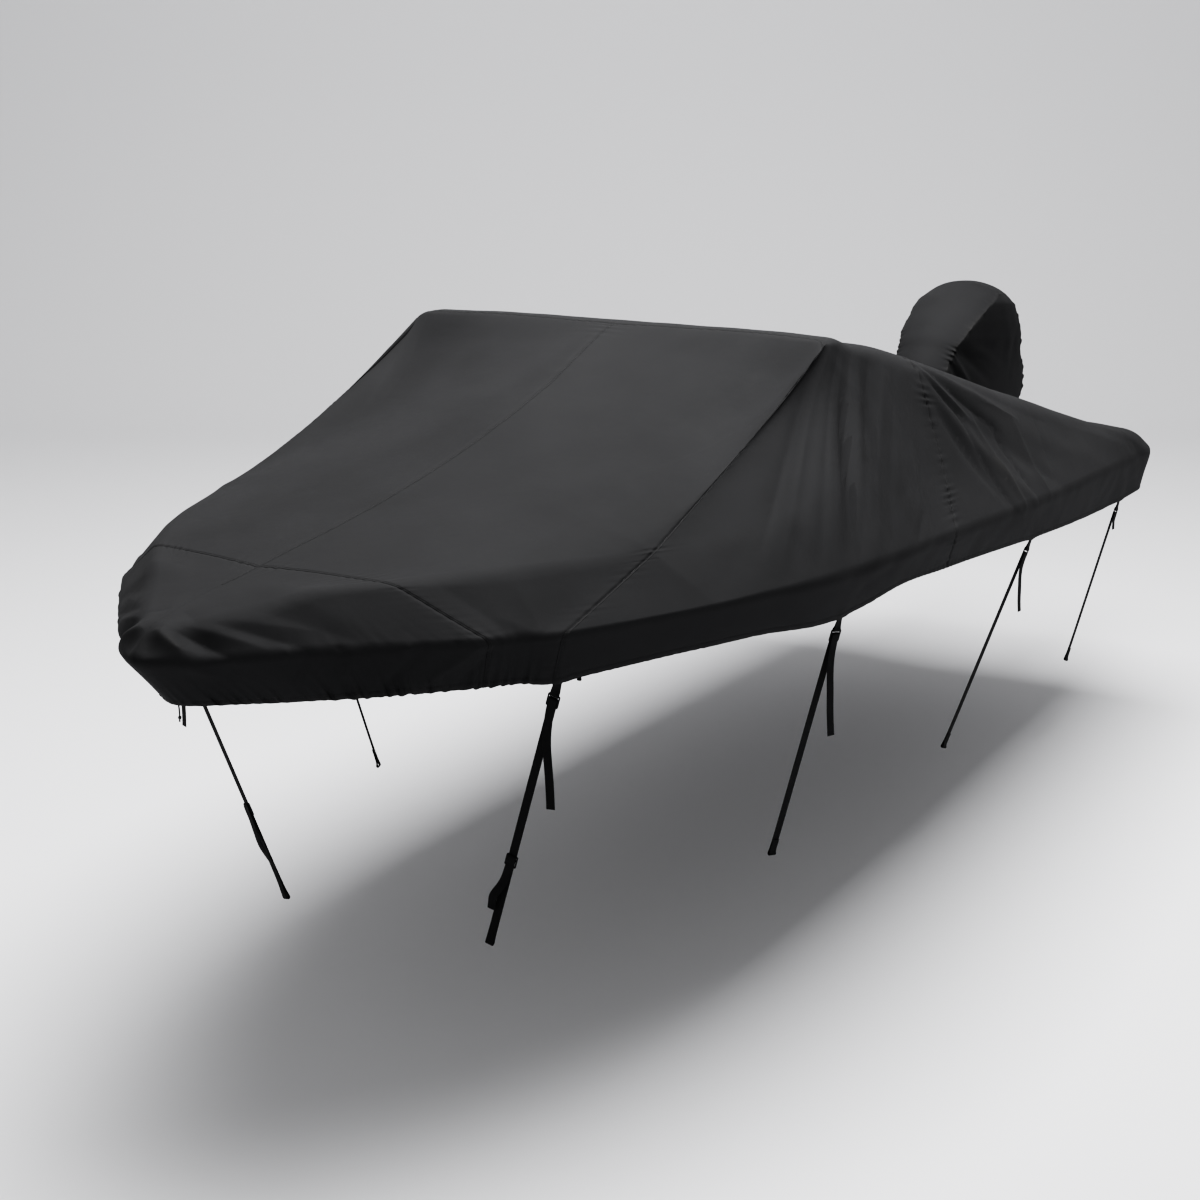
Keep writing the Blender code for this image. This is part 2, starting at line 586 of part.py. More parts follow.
def hood_solids():
    """Two side panels, and one strip over the front, the top and the back."""
    panels = {1: hood_side(1), -1: hood_side(-1)}
    last_row, last_column = panels[1].shape[0] - 1, HOOD_FACES["along"]
    border = [(i, 0) for i in range(last_row + 1)]
    border += [(last_row, j) for j in range(1, last_column)]
    border += [(i, last_column) for i in range(last_row, -1, -1)]
    edges = {side: np.array([panels[side][i, j] for i, j in border]) for side in panels}
    heading = np.gradient(edges[1] * (0, 1, 1), axis=0)
    heading /= np.linalg.norm(heading, axis=1, keepdims=True)
    outward = np.stack([np.zeros(len(border)), -heading[:, 2], heading[:, 1]], axis=1)

    shares = np.linspace(-1, 1, HOOD_FACES["across"] + 1)
    strip = np.zeros((len(border), len(shares), 3))
    for k in range(len(border)):
        for c, share in enumerate(shares):
            edge = edges[1 if share > 0 else -1][k]
            swell = HOOD_TOP_SWELL * (1 - share ** 2)
            strip[k, c] = (edge[0] * abs(share), edge[1], edge[2]) + outward[k] * swell
    strip_normals = grid_normals(strip)
    strip_normals *= np.sign((strip_normals * outward[:, None, :]).sum(axis=2, keepdims=True))
    strip_inner = strip - strip_normals * CLOTH

    for side, column in ((1, -1), (-1, 0)):
        panel = panels[side]
        normals = grid_normals(panel)
        normals *= np.sign(normals[..., :1]) * side
        inner = panel - normals * CLOTH
        for k, (i, j) in enumerate(border):
            own, other = normals[i, j], strip_normals[k, column]
            mitre = -CLOTH * (own + other) / (1 + own @ other)
            inner[i, j] = panel[i, j] + mitre
            strip_inner[k, column] = strip[k, column] + mitre
            apart = outward[k] * SEAM_GAP * 0.8
            panel[i, j] -= apart
            inner[i, j] -= apart
        for grid in (strip, strip_inner):
            grid[:, column, 0] -= side * SEAM_GAP * 0.8
        name = "hood_side_port" if side > 0 else "hood_side_starboard"
        cloth_solid(name, [(panel, inner, side)], CLOTH_BLACK)
    cloth_solid("hood_gusset", [(strip, strip_inner, 1)], CLOTH_BLACK)


# -------------------------------------------------------------------- build
clear_scene()
COVER = bpy.data.collections.new("boat_cover")
GUIDES = bpy.data.collections.new("guides")
for collection in (COVER, GUIDES):
    bpy.context.scene.collection.children.link(collection)
GUIDES.hide_render = True
CLOTH_BLACK = make_material("cloth_black", (0.022, 0.022, 0.024), 0.80)
WEBBING_BLACK = make_material("webbing_black", (0.012, 0.012, 0.013), 0.70)
BUCKLE_PLASTIC = make_material("buckle_plastic", (0.015, 0.015, 0.016), 0.38)
CORD_BLACK = make_material("cord_black", (0.014, 0.014, 0.015), 0.65)

SIDES = {1: cover_side(1), -1: cover_side(-1)}
cover_panel("bow_cap_port", 0, BOW_SEAM, 1, SIDES, CLOTH_BLACK)
cover_panel("bow_cap_starboard", 0, BOW_SEAM, -1, SIDES, CLOTH_BLACK)
cover_panel("foredeck_port", BOW_SEAM, DIAGONAL_SEAM, 1, SIDES, CLOTH_BLACK)
cover_panel("foredeck_starboard", BOW_SEAM, DIAGONAL_SEAM, -1, SIDES, CLOTH_BLACK)
cover_panel("cabin_panel", DIAGONAL_SEAM, AFT_SEAM, 0, SIDES, CLOTH_BLACK)
cover_panel("stern_panel", AFT_SEAM, STERN, 0, SIDES, CLOTH_BLACK)
hood_solids()
for strap_row in STRAPS:
    tie_down(*strap_row)
drawcord()
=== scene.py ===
# %% [markdown]
# # A trailering cover for an open boat, with its tie-downs and motor hood
#
# The real object is a fitted cover of coated polyester, cut in six panels and sewn with felled
# seams. It hangs on the top of the windscreen, bends down over the rails and the edge of the
# hull, and is pulled tight by straps at its hem. A second small cover fits the motor's head.
#
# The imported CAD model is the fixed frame: its plain solids carry collision and mass. This
# script dresses them. Each cloth panel is built again from the same named lines on a much
# finer grid, with the folds, puckers, stitches and gathers that cloth has.

# %% Load the frame
import bmesh
import bpy
import numpy as np
from math import cos, pi, radians, sin
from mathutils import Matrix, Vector, noise


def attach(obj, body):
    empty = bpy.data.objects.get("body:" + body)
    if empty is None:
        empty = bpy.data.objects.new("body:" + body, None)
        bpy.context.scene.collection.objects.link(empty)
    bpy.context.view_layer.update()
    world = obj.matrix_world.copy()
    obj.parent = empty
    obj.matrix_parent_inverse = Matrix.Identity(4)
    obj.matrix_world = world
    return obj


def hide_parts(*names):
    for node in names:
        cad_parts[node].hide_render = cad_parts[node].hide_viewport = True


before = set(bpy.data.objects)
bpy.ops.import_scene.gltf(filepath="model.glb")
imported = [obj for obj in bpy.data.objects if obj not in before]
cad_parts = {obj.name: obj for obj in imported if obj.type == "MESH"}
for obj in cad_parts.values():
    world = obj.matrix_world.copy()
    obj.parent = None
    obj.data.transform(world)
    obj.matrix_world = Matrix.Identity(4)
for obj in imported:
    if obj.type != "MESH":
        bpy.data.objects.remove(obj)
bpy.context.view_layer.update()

# %% [markdown]
# ## Camera
#
# The camera stands off the port bow, a little above the cover, with a lens of normal length.
# It is level from side to side and looks down by about fifteen degrees. It comes first, since
# it decides how fine each piece has to be: one pixel covers about three millimetres of cloth.

# %% Camera
CAMERA_PLACE = (3.35, -5.40, 0.84)
CAMERA_TURN = radians(29.5)      # from the bow-to-stern line towards starboard
CAMERA_DIP = radians(15.5)       # below the horizon


def add_object(name, data):
    made = bpy.data.objects.new(name, data)
    bpy.context.scene.collection.objects.link(made)
    return made


lens = bpy.data.cameras.new("camera")
lens.lens, lens.sensor_width = 57.0, 36.0            # millimetres
lens.shift_x, lens.shift_y = -0.075, -0.0042
camera = add_object("camera", lens)
camera.location = CAMERA_PLACE
camera.rotation_euler = (pi / 2 - CAMERA_DIP, 0, CAMERA_TURN)
bpy.context.scene.camera = camera
print("camera at", CAMERA_PLACE)

# %% [markdown]
# ## The cover as one surface
#
# A maker patterns a cover from its lengthwise lines: the centreline, the knee where the top
# turns down behind the windscreen, the rail, the edge of the hull, and the hem. Each table row
# is a station along the boat. A curve that never overshoots its rows runs through each line,
# and a cross-section joins the five lines at a station, rounded where the cloth bends.
# Building one shared surface, and cutting it at the seams afterwards, keeps both edges of
# every seam on the same curve.

# %% Lines of the cover
LINES = {
    "centre": [  # ridge of the cloth on the centreline
        (0.00, 0, -1.900, -0.430), (1.00, 0, -1.780, -0.413), (1.25, 0, -1.350, -0.354),
        (1.50, 0, -0.900, -0.268), (1.75, 0, -0.450, -0.142), (2.00, 0, 0.000, 0.020),
        (2.50, 0, 0.300, -0.020), (3.00, 0, 0.600, -0.088), (3.50, 0, 1.650, -0.375),
        (4.00, 0, 2.620, -0.630), (5.00, 0, 2.770, -0.668)],
    "knee": [  # from the stem to the windscreen's corner, then the after ridge
        (0.00, 0, -1.980, -0.440), (1.00, 0.180, -1.760, -0.409), (1.25, 0.340, -1.340, -0.362),
        (1.50, 0.500, -0.900, -0.290), (1.75, 0.655, -0.440, -0.184),
        (1.90, 0.745, -0.170, -0.072), (2.00, 0.800, 0.000, 0.032), (2.50, 0.810, 0.200, -0.012),
        (2.75, 0.820, 0.400, -0.055), (3.00, 0.835, 0.600, -0.108), (3.50, 0.860, 1.650, -0.392),
        (4.00, 0.900, 2.640, -0.662), (4.35, 0.700, 2.830, -0.690), (5.00, 0, 2.860, -0.700)],
    "rail": [  # where the cloth bends down over the bow rail
        (0.00, 0, -2.170, -0.476), (0.25, 0.100, -2.096, -0.470), (0.50, 0.200, -1.975, -0.446),
        (0.75, 0.300, -1.850, -0.414), (1.00, 0.405, -1.730, -0.415),
        (1.50, 0.610, -1.450, -0.418), (2.00, 0.800, -1.090, -0.423),
        (2.25, 0.930, -0.770, -0.418), (2.50, 1.008, -0.445, -0.411),
        (2.70, 1.018, -0.074, -0.391), (2.85, 0.993, 0.267, -0.399), (3.00, 0.972, 0.532, -0.426),
        (3.50, 0.965, 1.620, -0.570), (4.00, 0.975, 2.680, -0.700), (4.30, 0.930, 2.940, -0.738),
        (4.60, 0.550, 3.010, -0.750), (5.00, 0, 3.020, -0.750)],
    "gunwale": [  # edge of the hull
        (0.00, 0, -2.240, -0.548), (0.25, 0.162, -2.128, -0.555), (0.50, 0.312, -1.985, -0.548),
        (0.75, 0.466, -1.828, -0.553), (1.00, 0.640, -1.640, -0.561),
        (1.50, 0.692, -1.557, -0.566), (2.00, 0.757, -1.482, -0.567),
        (2.20, 0.914, -1.158, -0.572), (2.40, 1.024, -0.862, -0.576),
        (2.55, 1.102, -0.548, -0.587), (2.75, 1.142, -0.171, -0.599),
        (3.00, 1.135, 0.285, -0.629), (3.50, 1.096, 1.417, -0.716), (3.80, 1.054, 2.170, -0.767),
        (4.00, 1.021, 2.720, -0.808), (4.15, 1.010, 2.950, -0.820), (4.35, 0.940, 3.085, -0.828),
        (4.60, 0.550, 3.110, -0.830), (5.00, 0, 3.115, -0.830)],
    "hem": [
        (0.00, 0, -2.105, -0.698), (0.25, 0.170, -1.973, -0.706), (0.50, 0.319, -1.884, -0.698),
        (0.75, 0.452, -1.765, -0.698), (1.00, 0.584, -1.601, -0.705),
        (1.50, 0.633, -1.504, -0.713), (2.00, 0.692, -1.439, -0.719),
        (2.20, 0.851, -1.106, -0.714), (2.40, 0.958, -0.801, -0.720),
        (2.55, 1.036, -0.481, -0.748), (2.65, 1.055, -0.302, -0.747),
        (2.75, 1.076, -0.095, -0.732), (3.00, 1.070, 0.367, -0.769), (3.50, 1.033, 1.507, -0.892),
        (3.80, 0.990, 2.268, -0.967), (4.00, 0.962, 2.819, -1.005), (4.20, 0.944, 3.037, -1.018),
        (4.40, 0.838, 3.128, -1.028), (4.60, 0.519, 3.148, -1.032), (5.00, 0, 3.060, -1.012)],
}
ROUNDING = np.array([    # station, and how far the cloth bends before and after each corner
    (0.0, 0.080, 0.035, 0.030), (1.0, 0.080, 0.035, 0.025), (1.7, 0.100, 0.040, 0.025),
    (2.0, 0.070, 0.045, 0.028), (2.4, 0.070, 0.070, 0.032), (2.7, 0.080, 0.160, 0.034),
    (3.0, 0.090, 0.180, 0.036), (3.5, 0.110, 0.110, 0.036), (4.0, 0.120, 0.060, 0.034),
    (5.0, 0.040, 0.040, 0.030)])
BOW_SEAM, DIAGONAL_SEAM, AFT_SEAM, STERN = 1, 2, 3, 5
MARKS = [0.0, 0.85, 1.15, 1.8, 2.2, 2.8, 3.2, 4.0]    # column numbers where bends begin and end


def smooth_through(rows, where, mirror_x=False):
    """Values of a table of rows (s, a, b, ...) at s, on a curve that never overshoots them.

    Both ends are centreline stations, where x changes sign and the rest turns back."""
    table = np.array(rows, float)
    if mirror_x:
        sign = np.array([1, -1] + [1] * (table.shape[1] - 2))
        before, after = table[1] * sign, table[-2] * sign
        before[0] = 2 * table[0, 0] - table[1, 0]
        after[0] = 2 * table[-1, 0] - table[-2, 0]
        table = np.vstack([before, table, after])
    s, values = table[:, 0], table[:, 1:]
    steps = np.diff(s)[:, None]
    chords = np.diff(values, axis=0) / steps
    back, ahead = chords[:-1], chords[1:]
    same_way = back * ahead > 0
    mean = (steps[1:] * 2 + steps[:-1]) / np.where(same_way, back, 1)
    mean += (steps[:-1] * 2 + steps[1:]) / np.where(same_way, ahead, 1)
    middle = np.where(same_way, 3 * (steps[1:] + steps[:-1]) / mean, 0)
    slopes = np.vstack([chords[:1], middle, chords[-1:]])
    i = int(np.clip(np.searchsorted(s, where) - 1, 0, len(s) - 2))
    span = s[i + 1] - s[i]
    u = (where - s[i]) / span
    ends = values[i] * (1 + 2 * u) * (1 - u) ** 2 + values[i + 1] * u * u * (3 - 2 * u)
    return ends + (slopes[i] * u * (1 - u) ** 2 - slopes[i + 1] * u * u * (1 - u)) * span


print("lines:", {name: len(rows) for name, rows in LINES.items()})

# %% A cross-section, and a grid of them


def even(faces):
    """Shares from 0 to 1 for so many faces, without the 0."""
    return np.arange(1, faces + 1) / faces


def read_at(where, marks, rows):
    """Rows of numbers read between the marks that they stand at."""
    return np.stack([np.interp(where, marks, rows[:, k]) for k in range(rows.shape[1])], axis=-1)


def unit(vectors):
    """Vectors made one metre long."""
    vectors = np.asarray(vectors, float)
    return vectors / np.maximum(np.linalg.norm(vectors, axis=-1, keepdims=True), 1e-12)


def cross_section(s, spacing):
    """The cloth from the centreline to the port hem at a station."""
    lines = [smooth_through(rows, s, mirror_x=True) for rows in LINES.values()]
    points, start = [lines[0][None]], lines[0]
    for k, reach in enumerate(read_at(s, ROUNDING[:, 0], ROUNDING[:, 1:])):
        corner = lines[k + 1]
        begin, end = [corner + unit(way) * min(reach, 0.45 * np.linalg.norm(way))
                      for way in (lines[k] - corner, lines[k + 2] - corner)]
        u, v = spacing[2 * k][:, None], spacing[2 * k + 1][:, None]
        points.append(start + (begin - start) * u)
        points.append(begin * (1 - v) ** 2 + corner * 2 * v * (1 - v) + end * v * v)
        start = end
    points.append(start + (lines[-1] - start) * spacing[-1][:, None])
    return np.vstack(points)


def column_numbers(spacing):
    runs = [low + (high - low) * shares for low, high, shares in zip(MARKS, MARKS[1:], spacing)]
    return np.concatenate([np.zeros(1)] + runs)


PROBE = [even(faces) for faces in (4, 3, 5, 3, 2, 2, 3)]


def surface_point(s, t):
    """The place on the cover at a station and a column number."""
    return read_at(t, column_numbers(PROBE), cross_section(s, PROBE))


def grid_normals(grid):
    """Unit normals at the points of a grid, from the faces around each."""
    faces = np.cross(grid[:-1, 1:] - grid[1:, :-1], grid[1:, 1:] - grid[:-1, :-1])
    normals = np.zeros_like(grid)
    for rows in (slice(0, -1), slice(1, None)):
        for columns in (slice(0, -1), slice(1, None)):
            normals[rows, columns] += faces
    return unit(normals)


print("crest height at the centreline:", round(float(surface_point(2.0, 0.0)[2]), 3))

# %% [markdown]
# ## Folds, puckers and gathers
#
# Cloth under tension folds along straight lines between the points that pull on it. Each fold
# here is a row in a table: where it starts, where it ends, how wide it is and how far it
# stands out, or sinks in when the number is negative. A table like this can be corrected one
# fold at a time, which neither noise nor a simulation allows. The broad folds repeat those of
# the CAD solids. The fine ones are only in this dressing.

# %% Tables of folds
FOLDS = [    # station and column of both ends, half width, depth
    (2.00, 1.02, 2.00, 1.98, 0.260, -0.052), (2.10, 1.10, 2.44, 2.80, 0.050, -0.010),
    (2.20, 1.10, 2.54, 2.90, 0.045, 0.007), (2.34, 1.15, 2.60, 2.95, 0.045, -0.012),
    (2.50, 1.20, 2.66, 3.00, 0.040, 0.008), (2.60, 1.20, 2.72, 3.10, 0.045, -0.011),
    (2.74, 1.20, 2.80, 3.00, 0.040, 0.007), (2.90, 1.30, 2.90, 3.10, 0.045, -0.008),
    (3.01, 1.15, 3.40, 3.30, 0.048, 0.011), (3.02, 1.25, 3.28, 3.10, 0.045, -0.010),
    (3.08, 1.15, 3.56, 3.00, 0.050, -0.009), (3.14, 1.20, 3.80, 2.80, 0.060, 0.006),
    (0.05, 2.00, 0.20, 3.20, 0.035, 0.008), (0.14, 2.00, 0.32, 3.30, 0.035, -0.007),
    (4.10, 1.80, 4.30, 3.30, 0.045, 0.007), (3.95, 1.90, 4.05, 3.20, 0.045, -0.006)]
FINE_FOLDS = [
    # bow cap: a tongue under the stem's corner, hollows beside it, and drag lines
    (0.03, 2.02, 0.16, 2.75, 0.018, 0.013), (0.15, 2.60, 0.20, 3.35, 0.015, 0.009),
    (0.00, 2.10, 0.05, 2.95, 0.030, -0.012), (0.15, 2.10, 0.30, 2.95, 0.022, -0.012),
    (0.20, 2.02, 0.42, 2.85, 0.020, 0.007), (0.30, 2.05, 0.52, 2.90, 0.022, -0.006),
    (0.10, 1.95, 0.30, 3.20, 0.018, 0.004), (0.34, 2.02, 0.60, 2.60, 0.030, 0.005),
    (0.46, 2.00, 0.70, 2.90, 0.030, -0.004), (0.62, 2.05, 0.80, 3.40, 0.024, 0.003),
    (0.08, 1.30, 0.22, 1.95, 0.030, -0.004), (0.80, 1.20, 0.55, 2.00, 0.030, -0.003),
    (0.30, 3.10, 0.16, 3.90, 0.018, -0.006), (0.52, 3.02, 0.42, 3.60, 0.014, -0.006),
    (0.66, 3.00, 0.56, 3.70, 0.014, 0.006), (0.84, 3.00, 0.70, 3.80, 0.016, -0.006),
    (0.98, 3.05, 0.80, 3.90, 0.016, 0.006), (1.10, 3.05, 0.90, 3.95, 0.016, -0.006),
    (0.47, 2.86, 0.47, 3.08, 0.008, 0.005), (0.62, 2.88, 0.62, 3.06, 0.008, -0.005),
    (0.80, 2.90, 0.80, 3.10, 0.008, 0.005), (0.91, 2.88, 0.90, 3.08, 0.007, -0.005),
    # foredeck side, shallow sags under the rail
    (1.15, 2.05, 1.35, 2.90, 0.030, -0.003), (1.45, 2.05, 1.75, 2.90, 0.030, 0.003),
    (1.30, 2.60, 1.85, 3.10, 0.026, 0.003), (1.60, 1.30, 1.40, 2.00, 0.050, 0.003),
    # below the windscreen's corner
    (2.05, 1.06, 2.33, 2.30, 0.024, -0.005), (2.13, 1.08, 2.42, 2.60, 0.022, 0.005),
    (2.26, 1.10, 2.50, 2.70, 0.022, -0.006), (2.34, 1.10, 2.55, 2.30, 0.020, 0.004),
    (2.44, 1.12, 2.58, 2.60, 0.022, -0.006), (2.54, 1.12, 2.62, 2.50, 0.020, 0.005),
    (2.62, 1.14, 2.62, 2.60, 0.020, -0.006), (2.72, 1.16, 2.66, 2.80, 0.022, 0.005),
    (2.78, 1.20, 2.72, 2.60, 0.020, -0.004), (2.78, 2.10, 2.64, 3.50, 0.022, -0.006),
    (2.86, 2.40, 2.80, 3.00, 0.018, -0.005), (2.92, 1.40, 2.84, 2.60, 0.024, 0.004),
    # tension folds aft of the windscreen's after corner, down to the third tie
    (3.02, 1.05, 3.20, 1.85, 0.020, 0.012), (3.20, 1.80, 3.33, 2.95, 0.022, 0.013),
    (3.03, 1.10, 3.16, 1.85, 0.017, -0.009), (3.14, 1.80, 3.28, 2.90, 0.019, -0.011),
    (3.05, 1.05, 3.30, 1.90, 0.021, -0.010), (3.28, 1.85, 3.40, 3.00, 0.021, -0.010),
    (3.06, 1.02, 3.40, 1.80, 0.022, 0.010), (3.38, 1.75, 3.46, 2.90, 0.024, 0.008),
    (3.10, 1.02, 3.55, 1.75, 0.028, -0.004), (3.50, 1.70, 3.52, 2.70, 0.030, -0.004),
    (3.30, 3.00, 3.39, 3.90, 0.022, 0.005), (3.36, 2.95, 3.43, 3.90, 0.018, -0.004),
    (3.00, 0.20, 3.30, 0.70, 0.040, 0.004), (3.05, 0.60, 3.45, 0.95, 0.035, -0.004),
    (3.60, 1.20, 3.95, 2.20, 0.040, 0.004), (3.75, 1.10, 4.02, 2.60, 0.035, -0.003),
    # stern corner
    (3.90, 1.70, 4.12, 3.00, 0.024, 0.005), (4.05, 1.60, 4.22, 3.10, 0.022, -0.005),
    (4.18, 1.60, 4.34, 3.20, 0.022, 0.005), (4.30, 1.70, 4.46, 3.20, 0.024, -0.004),
    (3.88, 3.00, 3.94, 3.90, 0.020, 0.004), (4.55, 1.30, 4.70, 3.00, 0.050, 0.005),
    (4.80, 1.20, 4.88, 3.00, 0.050, -0.005),
]
print("folds:", len(FOLDS), "broad,", len(FINE_FOLDS), "fine")

# %% How far the folds stand out


def along_and_off(points, start, end):
    """How far along a line each point lies, as a share of it, and how far off the line."""
    run = end - start
    share = np.clip(((points - start) @ run) / (run @ run), 0, 1)
    return share, np.linalg.norm(points - (start + share[..., None] * run), axis=2)


def fold_height(points, folds, sharpness):
    height = np.zeros(points.shape[:2])
    for s_top, t_top, s_foot, t_foot, half_width, depth in folds:
        share, off = along_and_off(points, surface_point(s_top, t_top), surface_point(s_foot, t_foot))
        swell = np.sin(pi * (share * 0.92 + 0.04)) ** 0.6
        height += depth * swell * np.exp(-(off / half_width) ** sharpness)
    return height


def lengths_along(points, axis=0):
    """Distance walked along a path, or along one direction of a grid."""
    steps = np.linalg.norm(np.diff(points, axis=axis), axis=-1)
    return np.insert(np.cumsum(steps, axis=axis), 0, 0, axis=axis)


def waves(distance, pitch, seed):
    """An uneven ripple between -1 and 1 along a line."""
    chance = np.random.default_rng(seed)
    total = np.zeros_like(distance)
    for part, share in ((1.0, 0.5), (0.73, 0.3), (1.41, 0.2)):
        total += share * np.sin(2 * pi * distance / (pitch * part) + chance.uniform(0, 2 * pi)
                                + 1.3 * np.sin(2 * pi * distance / (pitch * 5.3 * part)))
    return total


def fade(value, start, end):
    """1 below start, 0 above end, smooth between them."""
    u = np.clip((value - start) / (end - start), 0, 1)
    return 1 - u * u * (3 - 2 * u)


def slow_unevenness(points):
    """A few millimetres of slow rise and fall, as all cloth has."""
    values = [0.0035 * noise.noise(Vector((x * 2.3, y * 1.6, z * 2.3 + 4.0)))
              + 0.0012 * noise.noise(Vector((x * 9.0, y * 6.5, z * 9.0 + 9.0)))
              for x, y, z in points.reshape(-1, 3)]
    return np.array(values).reshape(points.shape[:2])


print("a ripple of 30 mm:", np.round(waves(np.linspace(0, 0.03, 4), 0.03, 1), 2))

# %% [markdown]
# ## Both sides of the cover, point by point
#
# The grid is finest next to the seams, where stitching draws the cloth into puckers. The
# height of each point over the smooth surface is a sum: broad folds, fine folds, puckers that
# die away from each seam, gathers over the elastic in the bow's hem, a rolled hem, and a slow
# unevenness. Heights go along the surface's normals, so cloth on a steep side moves sideways
# and cloth on top moves up.

# %% Grid of stations and columns


def between(first, last, faces, crowd):
    """Stations from first to last. crowd, from 0 to 1, packs them towards both ends."""
    u = np.linspace(0, 1, faces + 1)
    return first + (last - first) * (u - crowd * np.sin(2 * pi * u) / (2 * pi))


ROWS = [between(0, 1, 140, 0.2), between(1, 2, 100, 0.7), between(2, 3, 150, 0.5),
        between(3, 3.55, 130, 0.2), between(3.55, 5, 82, 0.25)]
STATION = np.concatenate([ROWS[0]] + [rows[1:] for rows in ROWS[1:]])
SPACING = [even(50), even(18), even(62), even(30), even(26), even(10), 1 - (1 - even(22)) ** 1.5]
COLUMN = column_numbers(SPACING)
ROW_OF = {station: int(np.argmin(abs(STATION - station)))
          for station in (0, BOW_SEAM, DIAGONAL_SEAM, AFT_SEAM, STERN)}


def ease_rows(grid, reach, rounds):
    """Averages the rows near the windscreen's corner, below the knee, as cloth bridges it."""
    near = np.exp(-((np.arange(len(grid)) - ROW_OF[DIAGONAL_SEAM]) / reach) ** 2)[:, None] * BELOW_KNEE
    for _ in range(rounds):
        grid[1:-1] += 0.25 * near[1:-1, :, None] * (grid[:-2] - 2 * grid[1:-1] + grid[2:])


SMOOTH_GRID = np.array([cross_section(s, SPACING) for s in STATION])
BELOW_KNEE = np.clip((COLUMN - 0.95) / 0.2, 0, 1) * np.clip((2.7 - COLUMN) / 0.7, 0, 1)
ease_rows(SMOOTH_GRID, 26.0, 160)
print("grid:", SMOOTH_GRID.shape[:2], "rows of the seams:", ROW_OF)

# %% Folds and puckers, the same on both sides
PUCKERS = {BOW_SEAM: (0.0018, 0.030), DIAGONAL_SEAM: (0.0024, 0.034),     # height and pitch
           AFT_SEAM: (0.0052, 0.036)}
SEAM_DEPTH, SEAM_REACH = 0.0022, 0.008


def drawn_in(away):
    """How far stitching pulls the cloth in, at a distance from the seam."""
    return SEAM_DEPTH * np.exp(-(away / SEAM_REACH) ** 2)


def seam_puckers(grid, girth):
    """Ripples square to each seam, dying away from it, with the seam itself drawn in."""
    walked = lengths_along(grid)
    height = np.zeros(grid.shape[:2])
    for seam, (size, pitch) in PUCKERS.items():
        row = ROW_OF[seam]
        away = abs(walked - walked[row])
        ripple = waves(girth[row], pitch, seam) * (0.7 + 0.3 * waves(girth[row], 0.31, seam + 9))
        height += size * ripple * np.exp(-away / 0.032) - drawn_in(away)
    centre = walked[:, :1]
    ripple = waves(centre, 0.036, 4) * fade(centre, 1.9, 2.1) * np.clip(centre / 0.5, 0.25, 1)
    strength = 0.0028 * np.clip((centre - 0.6) / 0.9, 0.35, 1.0)
    height += ON_CENTRE_SEAM * (strength * ripple * np.exp(-girth / 0.035) - drawn_in(girth))
    return height


def centre_normals(grid):
    """Normals of one side, with those of the centreline's points kept in its plane."""
    normals = grid_normals(grid)
    normals[[0, -1], :, 0] = 0
    normals[:, 0, 0] = 0
    return unit(normals)


GIRTH = lengths_along(SMOOTH_GRID, 1)
FROM_HEM = GIRTH[:, -1:] - GIRTH
HEM_WALK = lengths_along(SMOOTH_GRID)[:, -1:]
ENDS = (np.clip(STATION / 0.08, 0, 1) * np.clip((5 - STATION) / 0.17, 0, 1))[:, None]
OFF_CENTRE = np.clip(COLUMN / 0.8, 0, 1) * ENDS
ON_CENTRE_SEAM = fade(STATION[:, None], 1.97, 2.0)
NORMALS = centre_normals(SMOOTH_GRID)
EASED_NORMALS = NORMALS.copy()
ease_rows(EASED_NORMALS, 60.0, 400)
BROAD = fold_height(SMOOTH_GRID, FOLDS, 2.0) * OFF_CENTRE
FINE = fold_height(SMOOTH_GRID, FINE_FOLDS, 1.25) * OFF_CENTRE + seam_puckers(SMOOTH_GRID, GIRTH)
print("folds reach", np.round([BROAD.min(), BROAD.max(), FINE.min(), FINE.max()], 3), "m")

# %% Gathers, hem and tie-downs, side by side
TIE_STATIONS = {1: (2.024, 2.590, 3.412, 3.925), -1: (1.930, 2.590, 3.412, 3.925)}
CLOTH = 0.002            # thickness
HEM_ROLL = 0.020         # width of the rolled hem
GATHER_PITCH, GATHER_RISE, GATHER_DROP = 0.033, 0.0115, 0.0110
SLACK_RISE = 0.0012      # ripple of the hem aft of the bow's elastic
TAB_LIFT, STRAP_PULL = 0.0016, 0.006


